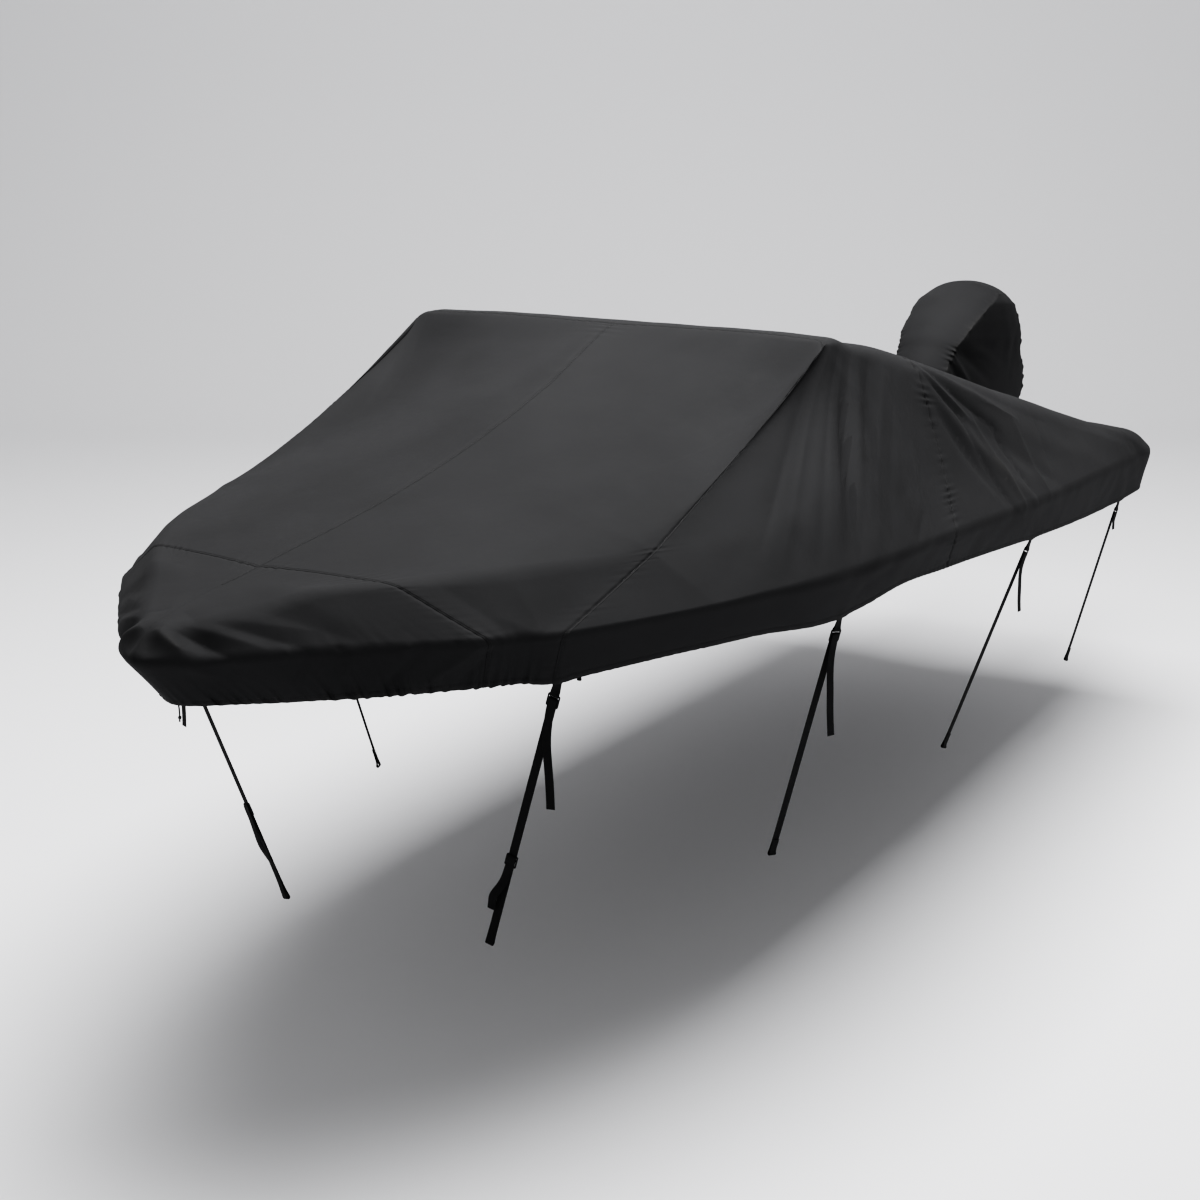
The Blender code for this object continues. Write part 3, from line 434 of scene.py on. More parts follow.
def one_side(side):
    """Outer points, inner points, and (along, across, dust and painted highlight) of one side of the cover.
    """
    mirror = np.array([side, 1, 1])
    bow_part = fade(STATION[:, None], 1.6, 2.0)
    gather = waves(HEM_WALK, GATHER_PITCH, 11 + side) * ENDS
    height = FINE + (gather * (GATHER_RISE * bow_part + SLACK_RISE * (1 - bow_part))
                     * np.exp(-np.maximum(FROM_HEM - HEM_ROLL * 0.6, 0) / 0.045))
    height += 0.0012 * fade(FROM_HEM, HEM_ROLL - 0.003, HEM_ROLL)
    height -= 0.0010 * np.exp(-((FROM_HEM - HEM_ROLL) / 0.004) ** 2)
    drop = GATHER_DROP * bow_part * gather
    for station in TIE_STATIONS[side]:       # the tab inside lifts the cloth, and the strap pulls it
        beside = abs(HEM_WALK - np.interp(station, STATION, HEM_WALK[:, 0]))
        height += TAB_LIFT * fade(beside, 0.0125, 0.0165) * fade(FROM_HEM, 0.036, 0.040)
        drop -= STRAP_PULL * np.exp(-(beside / 0.055) ** 2)
    height += slow_unevenness(SMOOTH_GRID * mirror) * np.clip(FROM_HEM / 0.1, 0.2, 1)
    outer = SMOOTH_GRID + NORMALS * height[..., None] + EASED_NORMALS * BROAD[..., None]
    outer[..., 2] += drop * np.exp(-FROM_HEM / 0.05)
    outer[:, 0, 0] = outer[[0, -1], :, 0] = 0
    inner = outer - centre_normals(outer) * CLOTH
    inner[:, 0, 0] = inner[[0, -1], :, 0] = 0
    along, across = lengths_along(outer), lengths_along(outer, 1)
    # Dust along the hem and on the rubbed seams is real; the paler crests of raised folds are a painted
    # highlight.
    dust_and_highlight_share = 0.45 * np.exp(-FROM_HEM / 0.012) + 0.4 * np.clip((height + BROAD) / 0.014, 0, 1) ** 2
    dust_and_highlight_share += 0.10 * ON_CENTRE_SEAM * np.exp(-GIRTH / 0.010)
    for seam in PUCKERS:
        dust_and_highlight_share += 0.10 * np.exp(-abs(along - along[ROW_OF[seam]]) / 0.010)
    spread = np.stack([along, across * side, np.clip(dust_and_highlight_share, 0, 1)], axis=2)
    return outer * mirror, inner * mirror, spread


SIDES = {side: one_side(side) for side in (1, -1)}
print("port side's highest point:", np.round(SIDES[1][0][..., 2].max(), 3))

# %% [markdown]
# ## Cloth panels
#
# Each panel is a closed sheet two millimetres thick: a fine outside, a rim, and an inside that
# keeps only one point in four each way, since it shows from underneath alone. A panel that
# crosses the boat is one grid from hem to hem. Its map for the weave is measured in metres
# along the cloth, so a thread has the same size everywhere.

# %% Helpers that finish a mesh


def add_map(mesh, spread, dust_and_highlight=None):
    """Gives a mesh its map in metres, a pair for each point, and how much dust and painted highlight each
    point has.
    """
    corners = np.empty(len(mesh.loops), dtype=np.int32)
    mesh.loops.foreach_get("vertex_index", corners)
    weave_map = mesh.uv_layers.new(name="weave")
    weave_map.data.foreach_set("uv", spread[corners].astype(np.float32).ravel())
    if dust_and_highlight is not None:
        dust_and_highlight_layer = mesh.attributes.new("dust_and_highlight", "FLOAT", "POINT")
        dust_and_highlight_layer.data.foreach_set("value", dust_and_highlight.astype(np.float32))


def edit_mesh(mesh, change):
    """Runs one change on a mesh's points, edges and faces, and returns what it gives back."""
    work = bmesh.new()
    work.from_mesh(mesh)
    result = change(work)
    work.to_mesh(mesh)
    work.free()
    return result


def turn_outwards(work):
    """Points every face outwards, also on a thin frame, where Blender may settle on inwards."""
    bmesh.ops.recalc_face_normals(work, faces=work.faces[:])
    if work.calc_volume(signed=True) < 0:
        bmesh.ops.reverse_faces(work, faces=work.faces[:])


def add_piece(name, mesh, smooth_angle=40):
    mesh.name = name
    mesh.shade_smooth()
    mesh.set_sharp_from_angle(angle=radians(smooth_angle))
    return add_object(name, mesh)


# %% A closed sheet from two grids
SEAM_GAP = 0.0003


def sheet_mesh(name, outer, inner, flat, flip, coarse=4):
    """Fine outside, coarse inside and a rim. flat is the map in metres, and the dust and painted highlight.
    """
    rows, columns = outer.shape[:2]
    below = rows * columns                       # number of the first point of the inside
    number = np.arange(below).reshape(rows, columns)
    corners = [number[:-1, :-1], number[:-1, 1:], number[1:, 1:], number[1:, :-1]]
    faces = np.stack(corners, axis=2).reshape(-1, 4).tolist()
    row_marks, column_marks = [sorted({*range(0, count, coarse), count - 1}) for count in (rows, columns)]
    for i, i_next in zip(row_marks, row_marks[1:]):
        for j, j_next in zip(column_marks, column_marks[1:]):
            # a face at the rim takes every point of the rim, so that no gap opens there
            face = [number[i, k] for k in (range(j, j_next) if i == 0 else [j])]
            face += [number[k, j_next] for k in (range(i, i_next) if j_next == columns - 1 else [i])]
            face += [number[i_next, k] for k in (range(j_next, j, -1) if i_next == rows - 1 else [j_next])]
            face += [number[k, j] for k in (range(i_next, i, -1) if j == 0 else [i_next])]
            faces.append([v + below for v in reversed(face)])
    rim = [*number[0], *number[1:, -1], *number[-1, -2::-1], *number[-2:0:-1, 0]]
    faces += [[b, a, a + below, b + below] for a, b in zip(rim, rim[1:] + rim[:1])]
    points = np.vstack([outer.reshape(-1, 3), inner.reshape(-1, 3)])
    used = np.zeros(len(points), bool)
    used[[v for face in faces for v in face]] = True
    renumber = np.cumsum(used) - 1
    turn = -1 if flip else 1
    mesh = bpy.data.meshes.new(name)
    mesh.from_pydata(points[used].tolist(), [],
                     [[int(renumber[v]) for v in face[::turn]] for face in faces])
    flat = np.vstack([flat.reshape(-1, 3)] * 2)[used]
    add_map(mesh, flat[:, :2], flat[:, 2])
    return mesh


def cut_size(grid):
    """Length and width of the cloth of a grid, and its area."""
    across, down = grid[1:, 1:] - grid[:-1, :-1], grid[1:, :-1] - grid[:-1, 1:]
    size = lengths_along(grid)[-1].max(), lengths_along(grid, 1)[:, -1].max()
    return size, float(np.linalg.norm(np.cross(across, down), axis=2).sum() / 2)


print("sheets are", CLOTH * 1000, "mm thick")

# %% Cut the cover at its seams


def draw_back(outer, inner, at, towards, centre):
    """Moves an edge of a sheet back from its seam by half the gap."""
    step = outer[towards] - outer[at]
    if centre is not None:
        step[centre, 0] = 0
    step *= SEAM_GAP / 2 / np.maximum(np.linalg.norm(step, axis=1, keepdims=True), 1e-9)
    outer[at] += step
    inner[at] += step


def close_stern(work):
    """Joins the two halves of the stern on the centreline."""
    bmesh.ops.remove_doubles(work, verts=work.verts, dist=0.00002)
    between_halves = [face for face in work.faces
                      if max(abs(vertex.co.x) for vertex in face.verts) < 1e-6
                      and len(face.verts) < 9 and min(vertex.co.y for vertex in face.verts) > 2.7]
    bmesh.ops.delete(work, geom=between_halves, context="FACES_ONLY")


def cover_panel(name, first, last, side):
    """side 1 or -1 gives half a panel, 0 one that crosses the boat."""
    rows = slice(ROW_OF[first], ROW_OF[last] + 1)
    centre = None
    if side:
        outer, inner, flat = [part[rows].copy() for part in SIDES[side]]
        for sheet in (outer, inner):
            sheet[:, 0, 0] = side * SEAM_GAP / 2
            if first == 0:
                sheet[0, :, 0] = side * SEAM_GAP / 2
    else:
        outer, inner, flat = [np.concatenate([far[rows, :0:-1], near[rows]], axis=1)
                              for far, near in zip(SIDES[-1], SIDES[1])]
        centre = outer.shape[1] // 2
    if first > 0:
        draw_back(outer, inner, 0, 1, centre)
    if last < STERN:
        draw_back(outer, inner, -1, -2, centre)
    mesh = sheet_mesh(name, outer, inner, flat, side < 0)
    if last == STERN:
        edit_mesh(mesh, close_stern)
    return add_piece(name + "_cloth", mesh), name, *cut_size(outer)


PANELS = {"bow_cap_port": (0, BOW_SEAM, 1), "bow_cap_starboard": (0, BOW_SEAM, -1),
          "foredeck_port": (BOW_SEAM, DIAGONAL_SEAM, 1),
          "foredeck_starboard": (BOW_SEAM, DIAGONAL_SEAM, -1),
          "cabin_panel": (DIAGONAL_SEAM, AFT_SEAM, 0), "stern_panel": (AFT_SEAM, STERN, 0)}
CLOTH_PIECES = [cover_panel(name, *place) for name, place in PANELS.items()]
for piece, _, size, area in CLOTH_PIECES:
    print(piece.name, len(piece.data.polygons), "faces,", np.round(size, 2), "m,", round(area, 2), "m2")

# %% [markdown]
# ## Motor hood
#
# The motor's head has its own small cover, sewn to the cover's after part: two side panels and
# one long strip that runs up the front, over the top and down the back. The side panels are
# lofted between a front edge and a back edge, swelled outwards in the middle. The strip, which
# a sailmaker calls a gusset, bridges the two borders.

# %% Hood profile
HOOD_LEVELS = [    # y and z of the front edge, y and z of the back edge, half the width
    (2.600, -0.560, 3.650, -0.756, 0.135), (2.652, -0.487, 3.700, -0.675, 0.136),
    (2.706, -0.430, 3.680, -0.600, 0.138), (2.752, -0.389, 3.612, -0.520, 0.150),
    (2.845, -0.341, 3.541, -0.430, 0.175), (2.957, -0.280, 3.459, -0.335, 0.189),
    (3.054, -0.225, 3.396, -0.265, 0.190), (3.172, -0.190, 3.319, -0.210, 0.174)]
HOOD_SIDE_SWELL, HOOD_TOP_SWELL, HOOD_TOP_RISE = 0.030, 0.055, 0.004
HOOD_UP, HOOD_ALONG, HOOD_ACROSS = 96, 120, 44       # faces each way


def hood_side(side):
    """Points of one side panel, from its hem up and from front to back."""
    table = [(k / (len(HOOD_LEVELS) - 1),) + row for k, row in enumerate(HOOD_LEVELS)]
    u = np.linspace(0, 1, HOOD_ALONG + 1)
    rows = []
    for share in np.linspace(0, 1, HOOD_UP + 1):
        y_front, z_front, y_back, z_back, half = smooth_through(table, share)
        lean = np.exp(-((share - 0.64) / 0.17) ** 2)     # the seam runs nearly straight
        front = np.array([half - 0.017 * lean, y_front - 0.035 * lean, z_front])
        back = np.array([half * 0.95, y_back, z_back])
        row = front + (back - front) * u[:, None]
        row[:, 0] += HOOD_SIDE_SWELL * np.sin(pi * u) ** 0.8 * (1 - share ** 3)
        row[:, 2] += HOOD_TOP_RISE * np.sin(pi * u) * share ** 4
        rows.append(row * (side, 1, 1))
    return np.array(rows)


print("hood from", HOOD_LEVELS[0][1], "m to", HOOD_LEVELS[0][2], "m along the hull")

# %% [markdown]
# The seam between a side panel and the strip is where the hood's shape is made, and also where
# the cloth puckers. Short folds run from the seam at the front foot, where the hood is pulled
# towards the cover.

# %% Border and folds of the hood
HOOD_PITCH = 0.030       # of the puckers along its seams
HOOD_FOLDS = [   # on a side panel: share up and along at both ends, half width, depth
    (0.30, 0.00, 0.02, 0.30, 0.020, 0.008), (0.22, 0.00, 0.00, 0.20, 0.016, -0.007),
    (0.40, 0.02, 0.10, 0.50, 0.024, -0.006), (0.50, 0.02, 0.25, 0.60, 0.028, 0.005),
    (0.12, 0.00, 0.00, 0.10, 0.016, 0.006), (0.90, 0.35, 0.15, 0.80, 0.050, 0.004),
    (0.75, 0.95, 0.10, 0.75, 0.040, -0.003), (0.85, 0.70, 0.20, 0.95, 0.040, 0.003),
]


def hood_folds(grid):
    height = np.zeros(grid.shape[:2])
    for up_a, along_a, up_b, along_b, half_width, depth in HOOD_FOLDS:
        a, b = [grid[int(up * HOOD_UP), int(along * HOOD_ALONG)]
                for up, along in ((up_a, along_a), (up_b, along_b))]
        share, off = along_and_off(grid, a, b)
        height += depth * np.sin(pi * (0.1 + 0.86 * share)) * np.exp(-(off / half_width) ** 2)
    return height


def distance_to_border(grid):
    """Shortest way on a side panel to its front, top or back edge."""
    along, up = lengths_along(grid, 1), lengths_along(grid)
    return np.minimum(np.minimum(along, along[:, -1:] - along), up[-1:] - up)


def distance_to_edge(strip):
    """Shortest way on the strip to one of its long edges."""
    across = lengths_along(strip, 1)
    return np.minimum(across, across[:, -1:] - across)


def normals_towards(grid, way):
    """Normals of a grid, turned to the side that a way points to."""
    normals = grid_normals(grid)
    return normals * np.sign((normals * way).sum(axis=2, keepdims=True))


UP_AND_OVER = np.array([(i, 0) for i in range(HOOD_UP + 1)]
                       + [(HOOD_UP, j) for j in range(1, HOOD_ALONG)]
                       + [(i, HOOD_ALONG) for i in range(HOOD_UP, -1, -1)]).T
print("points along the hood's seam:", UP_AND_OVER.shape[1])

# %% Hood panels with their puckers


def puckered_side(grid, side, ripple):
    """A side panel with its folds, its puckers and its seam drawn in."""
    away = distance_to_border(grid)
    border = grid[tuple(UP_AND_OVER)][::3]
    nearest = np.argmin(np.linalg.norm(grid[:, :, None] - border, axis=3), axis=2) * 3
    height = hood_folds(grid) * (1.0 if side > 0 else 0.7)
    height += 0.0050 * ripple[nearest] * np.exp(-away / 0.020) - 0.0016 * np.exp(-(away / 0.009) ** 2)
    height += slow_unevenness(grid) * np.clip(away / 0.05, 0, 1)
    return grid + normals_towards(grid, (side, 0, 0)) * height[..., None]


def hood_strip(plain, edges, outward):
    """The strip between both borders: plain ones in its middle, puckered ones at its edges."""
    columns = []
    for share in np.linspace(-1, 1, HOOD_ACROSS + 1):
        side, mix = (1 if share > 0 else -1), abs(share)
        path = (plain[1] + plain[-1]) / 2 * (1 - mix) + plain[side] * mix
        path[:, 0] = plain[side][:, 0] * mix
        path += (edges[side] - plain[side]) * mix ** 8
        columns.append(path + outward * (HOOD_TOP_SWELL * (1 - share ** 2)))
    return np.stack(columns, axis=1)


def build_hood():
    sides = {side: hood_side(side) for side in (1, -1)}
    plain = {side: grid[tuple(UP_AND_OVER)] for side, grid in sides.items()}
    middle = plain[1] * (0, 1, 1)
    heading = unit(np.gradient(middle, axis=0))
    outward = np.stack([0 * heading[:, 0], -heading[:, 2], heading[:, 1]], axis=1)
    walked = lengths_along(middle)
    pull = 1.9 - 1.3 * UP_AND_OVER[0] / HOOD_UP          # the seam puckers most at its foot
    ripples = {side: waves(walked, HOOD_PITCH, 21 + side) * pull for side in sides}
    sides = {side: puckered_side(grid, side, ripples[side]) for side, grid in sides.items()}
    edges = {side: grid[tuple(UP_AND_OVER)] for side, grid in sides.items()}
    strip = hood_strip(plain, edges, outward)
    outward = outward[:, None]
    normals = normals_towards(strip, outward)
    ends = np.clip(np.minimum(walked, walked[-1] - walked) / 0.03, 0, 1)
    across = lengths_along(strip, 1)
    for side, near in ((1, across[:, -1:] - across), (-1, across)):
        fall = np.exp(-near / 0.014) - (near < 1e-9)
        strip += normals * (0.0040 * (ripples[side] * ends)[:, None] * fall)[..., None]
    uneven = slow_unevenness(strip) * 1.4 * np.clip(distance_to_edge(strip) / 0.04, 0, 1)
    strip += normals * uneven[..., None]
    pieces = []
    for side, word in ((1, "port"), (-1, "starboard")):
        grid = sides[side] - np.array([side * SEAM_GAP, 0, 0])
        pieces.append(("hood_side_" + word, grid, (side, 0, 0), (1, 0), distance_to_border(grid), side < 0))
    pieces.append(("hood_gusset", strip, outward, (0, 1), distance_to_edge(strip), False))
    return [hood_piece(*piece) for piece in pieces], strip, outward


def hood_piece(name, grid, way, axes, from_seam, flip):
    flat = [lengths_along(grid, axis) for axis in axes] + [0.6 * np.exp(-from_seam / 0.010)]
    inside = grid - normals_towards(grid, way) * CLOTH
    mesh = sheet_mesh(name, grid, inside, np.stack(flat, axis=2), flip)
    return add_piece(name + "_cloth", mesh), name, *cut_size(grid)


HOOD_PIECES, HOOD_STRIP, HOOD_OUTWARD = build_hood()
CLOTH_PIECES += HOOD_PIECES
for piece, _, size, area in HOOD_PIECES:
    print(piece.name, len(piece.data.polygons), "faces,", np.round(size, 2), "m,", round(area, 3), "m2")

# %% [markdown]
# ## Tie-downs
#
# Each tie-down is a webbing tab sewn inside the hem, a slide buckle in the tab's bight, and a
# strap that runs from the buckle down round the trailer's frame and back on itself. The free
# end hangs from the buckle. The frame isn't here, so the strap keeps the shape that it had
# round it. Webbing is a ribbon swept along a path, with a rounded edge and a map in metres.

# %% Sizes and places of the ties
WEBBING_WIDTH = 0.025
WEBBING = 0.0016         # webbing thickness
TAB_CLEARANCE = 0.0008   # from the cloth to the tab that lies inside it
TAB_REACH = 0.036        # tab inside the skirt, above the hem
TAB_DROP = 0.038         # from the hem to the top of the buckle
BUCKLE_WIDTH, BUCKLE_HEIGHT, BUCKLE_THICKNESS = 0.036, 0.041, 0.004
BUCKLE_BAR = 0.005
MIDDLE_BAR = 0.0155      # from the top of a buckle to its middle bar
WRAP_RADIUS = 0.0045     # middle of the webbing, round a bar of the buckle
LOOP_RADIUS = 0.006      # middle of the webbing, round the foot of a strap
LAYER_GAP = 0.0006       # between two layers of webbing
SLIDE_TURN = 0.0045      # how far the tail's bight stands off the lower slide
STRAPS = {   # foot, doubled length, free end, and turn in degrees, from bow to stern
    1: [((0.360, -1.300, -1.610), 0.260, 0.295, 49), ((0.800, -0.360, -1.590), 0.060, 0.300, 24),
        ((0.830, 1.020, -1.660), 0.060, 0.200, 14), ((0.855, 2.380, -1.680), 0.060, 0.045, 11)],
    -1: [((-0.360, -1.350, -1.610), 0.240, 0.270, 24), ((-0.800, -0.350, -1.590), 0.070, 0.280, 20),
         ((-0.830, 1.030, -1.660), 0.060, 0.215, 14), ((-0.855, 2.390, -1.680), 0.060, 0.060, 11)]}
TAIL = [     # down from the lower slide, aside, and off the strap, from the tail's tip
    (0.212, 0.019, 0.006), (0.186, 0.020, 0.010), (0.162, 0.021, 0.016), (0.140, 0.017, 0.018),
    (0.115, 0.008, 0.014), (0.090, 0.002, 0.009), (0.050, 0.000, 0.0050), (0.015, 0.000, 0.0050)]
print(sum(map(len, STRAPS.values())), "tie-downs")

# %% Webbing along a path


def ringed_mesh(name, rings, spread, dust_and_highlight=None):
    """A closed tube through rings of points, all with as many points."""
    count, turns = rings.shape[:2]
    faces = [[k * turns + c, k * turns + (c + 1) % turns, (k + 1) * turns + (c + 1) % turns,
              (k + 1) * turns + c] for k in range(count - 1) for c in range(turns)]
    faces += [list(range(turns)), [(count - 1) * turns + c for c in range(turns)]]
    mesh = bpy.data.meshes.new(name)
    mesh.from_pydata(rings.reshape(-1, 3).tolist(), [], faces)
    add_map(mesh, spread, dust_and_highlight)
    edit_mesh(mesh, turn_outwards)
    return mesh


def cut_corners(line):
    """Each corner of a line cut off at a quarter of its sides. Both ends stay."""
    cut = np.empty((2 * len(line) - 2, 3))
    cut[0::2] = line[:-1] * 0.75 + line[1:] * 0.25
    cut[1::2] = line[:-1] * 0.25 + line[1:] * 0.75
    cut[0], cut[-1] = line[0], line[-1]
    return cut


def webbing(name, points, across, step=0.003):
    """A ribbon of webbing with rounded edges. Returns the piece and its length."""
    points, across = np.array(points, float), np.array(across, float)
    for _ in range(3):
        points, across = cut_corners(points), cut_corners(across)
    rough = lengths_along(points)
    walked = np.linspace(0, rough[-1], max(8, int(rough[-1] / step)))
    points, across = read_at(walked, rough, points), read_at(walked, rough, across)
    tangents = unit(np.gradient(points, axis=0))
    across = unit(across - tangents * (across * tangents).sum(axis=1, keepdims=True))
    thick = np.cross(tangents, across)
    half, depth = WEBBING_WIDTH / 2, WEBBING / 2
    quarter = [(half, 0), (half - 0.0005, depth * 0.8), (half * 0.86, depth)]
    upper = quarter + [(0, depth)] + [(-a, b) for a, b in quarter[:0:-1]]
    profile = [(-a, -b) for a, b in upper] + upper
    rings = np.stack([points + across * a + thick * b for a, b in profile], axis=1)
    spread = np.array([(a, along) for along in walked for a, _ in profile])
    return add_piece(name, ringed_mesh(name, rings, spread), 50), float(walked[-1])


print("webbing", WEBBING_WIDTH * 1000, "mm wide")

# %% Where a tie-down hangs


def hem_frame(station, side):
    """Inner point of the hem, the way up the skirt, the way in, and the way along."""
    inner = SIDES[side][1]
    hem, above = [read_at(station, STATION, inner[:, column]) for column in (-1, -8)]
    before, after = [read_at(station + step, STATION, inner[:, -1]) for step in (-0.02, 0.02)]
    along, up = unit(after - before), unit(above - hem)
    inward = unit(np.cross(up, along))
    return hem, up, inward if inward[0] * side < 0 else -inward, along


def turned(vector, axis, angle):
    return (vector * cos(angle) + np.cross(axis, vector) * sin(angle)
            + axis * (axis @ vector) * (1 - cos(angle)))


def half_turn(u, v, across, down):
    """Seven places on half an ellipse round (u, v), from one side to the other."""
    return [(u + across * cos(pi * k / 6), v + down * sin(pi * k / 6)) for k in range(7)]


print("first tie-down's hem:", np.round(hem_frame(TIE_STATIONS[1][0], 1)[0], 3))

# %% Tabs and straps


def tie_down(side, number, station, foot, doubled, free_end, turn):
    """Names and shapes of a tab and its strap, with the frames of the buckle and lower slide."""
    hem, up, inward, along = hem_frame(station, side)
    start = hem + inward * (TAB_CLEARANCE + WEBBING + LAYER_GAP / 2)
    down = unit(foot - start)
    wide = turned(unit(along - down * (along @ down)), down, side * radians(turn))
    out = unit(np.cross(down, wide))
    out = out if out[0] * side > 0 else -out
    bow_ward = -wide if wide[1] > 0 else wide
    top = start + down * TAB_DROP

    def at(u, v, aside=0.0):
        """A place so far out from the buckle, down from its top, and aside towards the bow."""
        return top + out * u + down * v + bow_ward * aside

    def tab_layer(face):
        points = [start + up * reach - inward * face * (WEBBING + LAYER_GAP) / 2
                  for reach in (TAB_REACH, TAB_REACH * 0.5, 0.0)]
        return points + [at(face * WRAP_RADIUS * bend, v) for bend, v in ((0.45, -0.009), (0.95, -0.003))]

    widths = [along] * 3 + [along * 0.4 + wide * 0.6, wide]
    tab = tab_layer(-1) + [at(*place) for place in half_turn(0, BUCKLE_BAR / 2, -WRAP_RADIUS, WRAP_RADIUS)]
    tab += tab_layer(1)[::-1]
    name = ("port_" if side > 0 else "starboard_") + str(number)
    tab_piece = webbing("tab_" + name + "_webbing", tab, widths + [wide] * 7 + widths[::-1])

    pitch, back, lower_bar = WEBBING + LAYER_GAP, -WRAP_RADIUS, BUCKLE_HEIGHT - BUCKLE_BAR / 2
    front, middle = back + pitch, back + pitch / 2
    length = (foot - at(back, 0)) @ down
    strap = [at(front, length - doubled * share) for share in (1.0, 0.6, 0.25)]
    slide = None
    if doubled > 0.2:         # a slide holds the doubled end, and its tail peels away
        held = length - doubled - 0.085
        slide = (at(middle, held), wide, down, out)
        tail = [at(front + lift, held + v, aside) for v, aside, lift in TAIL]
        tail += [at(middle + SLIDE_TURN * cos(a), held + 0.004 - SLIDE_TURN * sin(a))
                 for a in (-0.2, 0.7, 1.5, 2.3)]
        strap[:1] = tail + [at(front, held + v) for v in (0.030, 0.060, 0.120)]
    strap += [at(*place) for place in half_turn(middle, length - LOOP_RADIUS, LOOP_RADIUS, LOOP_RADIUS)]
    strap += [at(back, v) for v in (length - 0.045, length * 0.66, length * 0.36, 0.060, lower_bar)]
    strap += [at(*place) for place in half_turn(0, MIDDLE_BAR, -WRAP_RADIUS, -WRAP_RADIUS)]
    strap += [at(WRAP_RADIUS, lower_bar), at(WRAP_RADIUS + 0.0005, BUCKLE_HEIGHT + 0.004)]
    plumb = np.array([side * 0.03, 0.02, -1.0])
    for k in range(8):        # the free end turns from the strap's way to hang plumb
        share = min(1.0, (k + 1) / 4)
        heading = unit(down * (1 - share) + plumb * share + out * 0.05 * sin(k * 1.1))
        strap.append(strap[-1] + heading * free_end / 8)
    strap_piece = webbing("strap_" + name + "_webbing", strap, [wide] * len(strap))
    return name, tab_piece, strap_piece, (top, wide, down, out), slide


TIES = [tie_down(side, k + 1, TIE_STATIONS[side][k], *row)
        for side, rows in STRAPS.items() for k, row in enumerate(rows)]
for name, (_, tab_length), (_, strap_length), _, _ in TIES:
    print(name, "tab", round(tab_length, 3), "m, strap", round(strap_length, 3), "m")

# %% [markdown]
# A slide is moulded in one piece: a rounded frame with a bar across its middle. A flat curve
# with two holes gives the shape, and its bevel rounds the edges as a mould does.

# %% Slide buckles
SLIDE_EDGE = 0.0008      # how far the mould rounds an edge
SLIDE_WALL = 0.004


def rounded_box(half, low, high, corner, steps):
    """Places round a box with round corners, half as wide as half, from low to high."""
    a, b, c = half - corner, high - corner, low + corner
    places = []
    for turn, (x, y) in enumerate(((a, b), (-a, b), (-a, c), (a, c))):
        for k in range(steps + 1):
            angle = (turn + k / steps) * pi / 2
            places.append((x + corner * cos(angle), y + corner * sin(angle)))
    return places


def slide_buckle(name, top, wide, down, out):
    """A three-bar slide that hangs from its top bar. Returns it and its open edges."""
    half, low = BUCKLE_WIDTH / 2 - SLIDE_EDGE, BUCKLE_BAR - SLIDE_EDGE
    inside, half_bar = BUCKLE_WIDTH / 2 - SLIDE_WALL + SLIDE_EDGE, BUCKLE_BAR / 2 - SLIDE_EDGE
    curve = bpy.data.curves.new(name, "CURVE")
    curve.dimensions, curve.fill_mode = "2D", "BOTH"
    curve.extrude = BUCKLE_THICKNESS / 2 - SLIDE_EDGE
    curve.bevel_depth, curve.bevel_resolution = SLIDE_EDGE, 2
    for box in ((half, SLIDE_EDGE, BUCKLE_HEIGHT - SLIDE_EDGE, 0.004, 6),
                (inside, low, MIDDLE_BAR - half_bar, 0.002, 3),
                (inside, MIDDLE_BAR + half_bar, BUCKLE_HEIGHT - low, 0.002, 3)):
        places = rounded_box(*box)
        spline = curve.splines.new("POLY")
        spline.points.add(len(places) - 1)
        spline.points.foreach_set("co", [v for x, y in places for v in (x, y, 0, 1)])
        spline.use_cyclic_u = True
    shape = add_object(name, curve)
    mesh = bpy.data.meshes.new_from_object(shape.evaluated_get(bpy.context.evaluated_depsgraph_get()))
    bpy.data.objects.remove(shape, do_unlink=True)

    def hang(work):
        bmesh.ops.remove_doubles(work, verts=work.verts, dist=0.00005)
        for vertex in work.verts:
            x, y, z = vertex.co
            vertex.co = Vector(top + wide * x + down * y + out * z)
        turn_outwards(work)
        return sum(not edge.is_manifold for edge in work.edges)

    open_edges = edit_mesh(mesh, hang)
    return add_piece(name, mesh, 35), open_edges


BUCKLES, SLIDES = {}, []
for name, _, _, place, lower in TIES:
    BUCKLES["buckle_" + name] = slide_buckle("buckle_" + name + "_slide", *place)
    if lower:
        SLIDES.append(slide_buckle("strap_" + name + "_slide", *lower))
print(len(BUCKLES), "buckles,", len(SLIDES), "lower slides, open edges:",
      sum(count for _, count in [*BUCKLES.values(), *SLIDES]))

# %% [markdown]
# ## Felled seams and stitching
#
# The panels are joined by felled seams: one edge is folded over the other, laid flat and sewn
# down with two rows. The folded band stands a millimetre proud. It is a thin strip that
# follows the puckered cloth at measured distances from the seam, so it rises and dips with it.
#
# Each row of stitches is kept as a line of points, each with the way out of the cloth there.

# %% Lines at a distance from a seam
FELL_WIDTH = 0.012
FELL_HALF = [(0.0, -0.0006), (0.0, 0.0004), (0.0010, 0.0008), (0.0022, 0.0005)]
FELL_PROFILE = FELL_HALF + [(0.006, 0.0009)] + [(FELL_WIDTH - a, b) for a, b in FELL_HALF[::-1]]


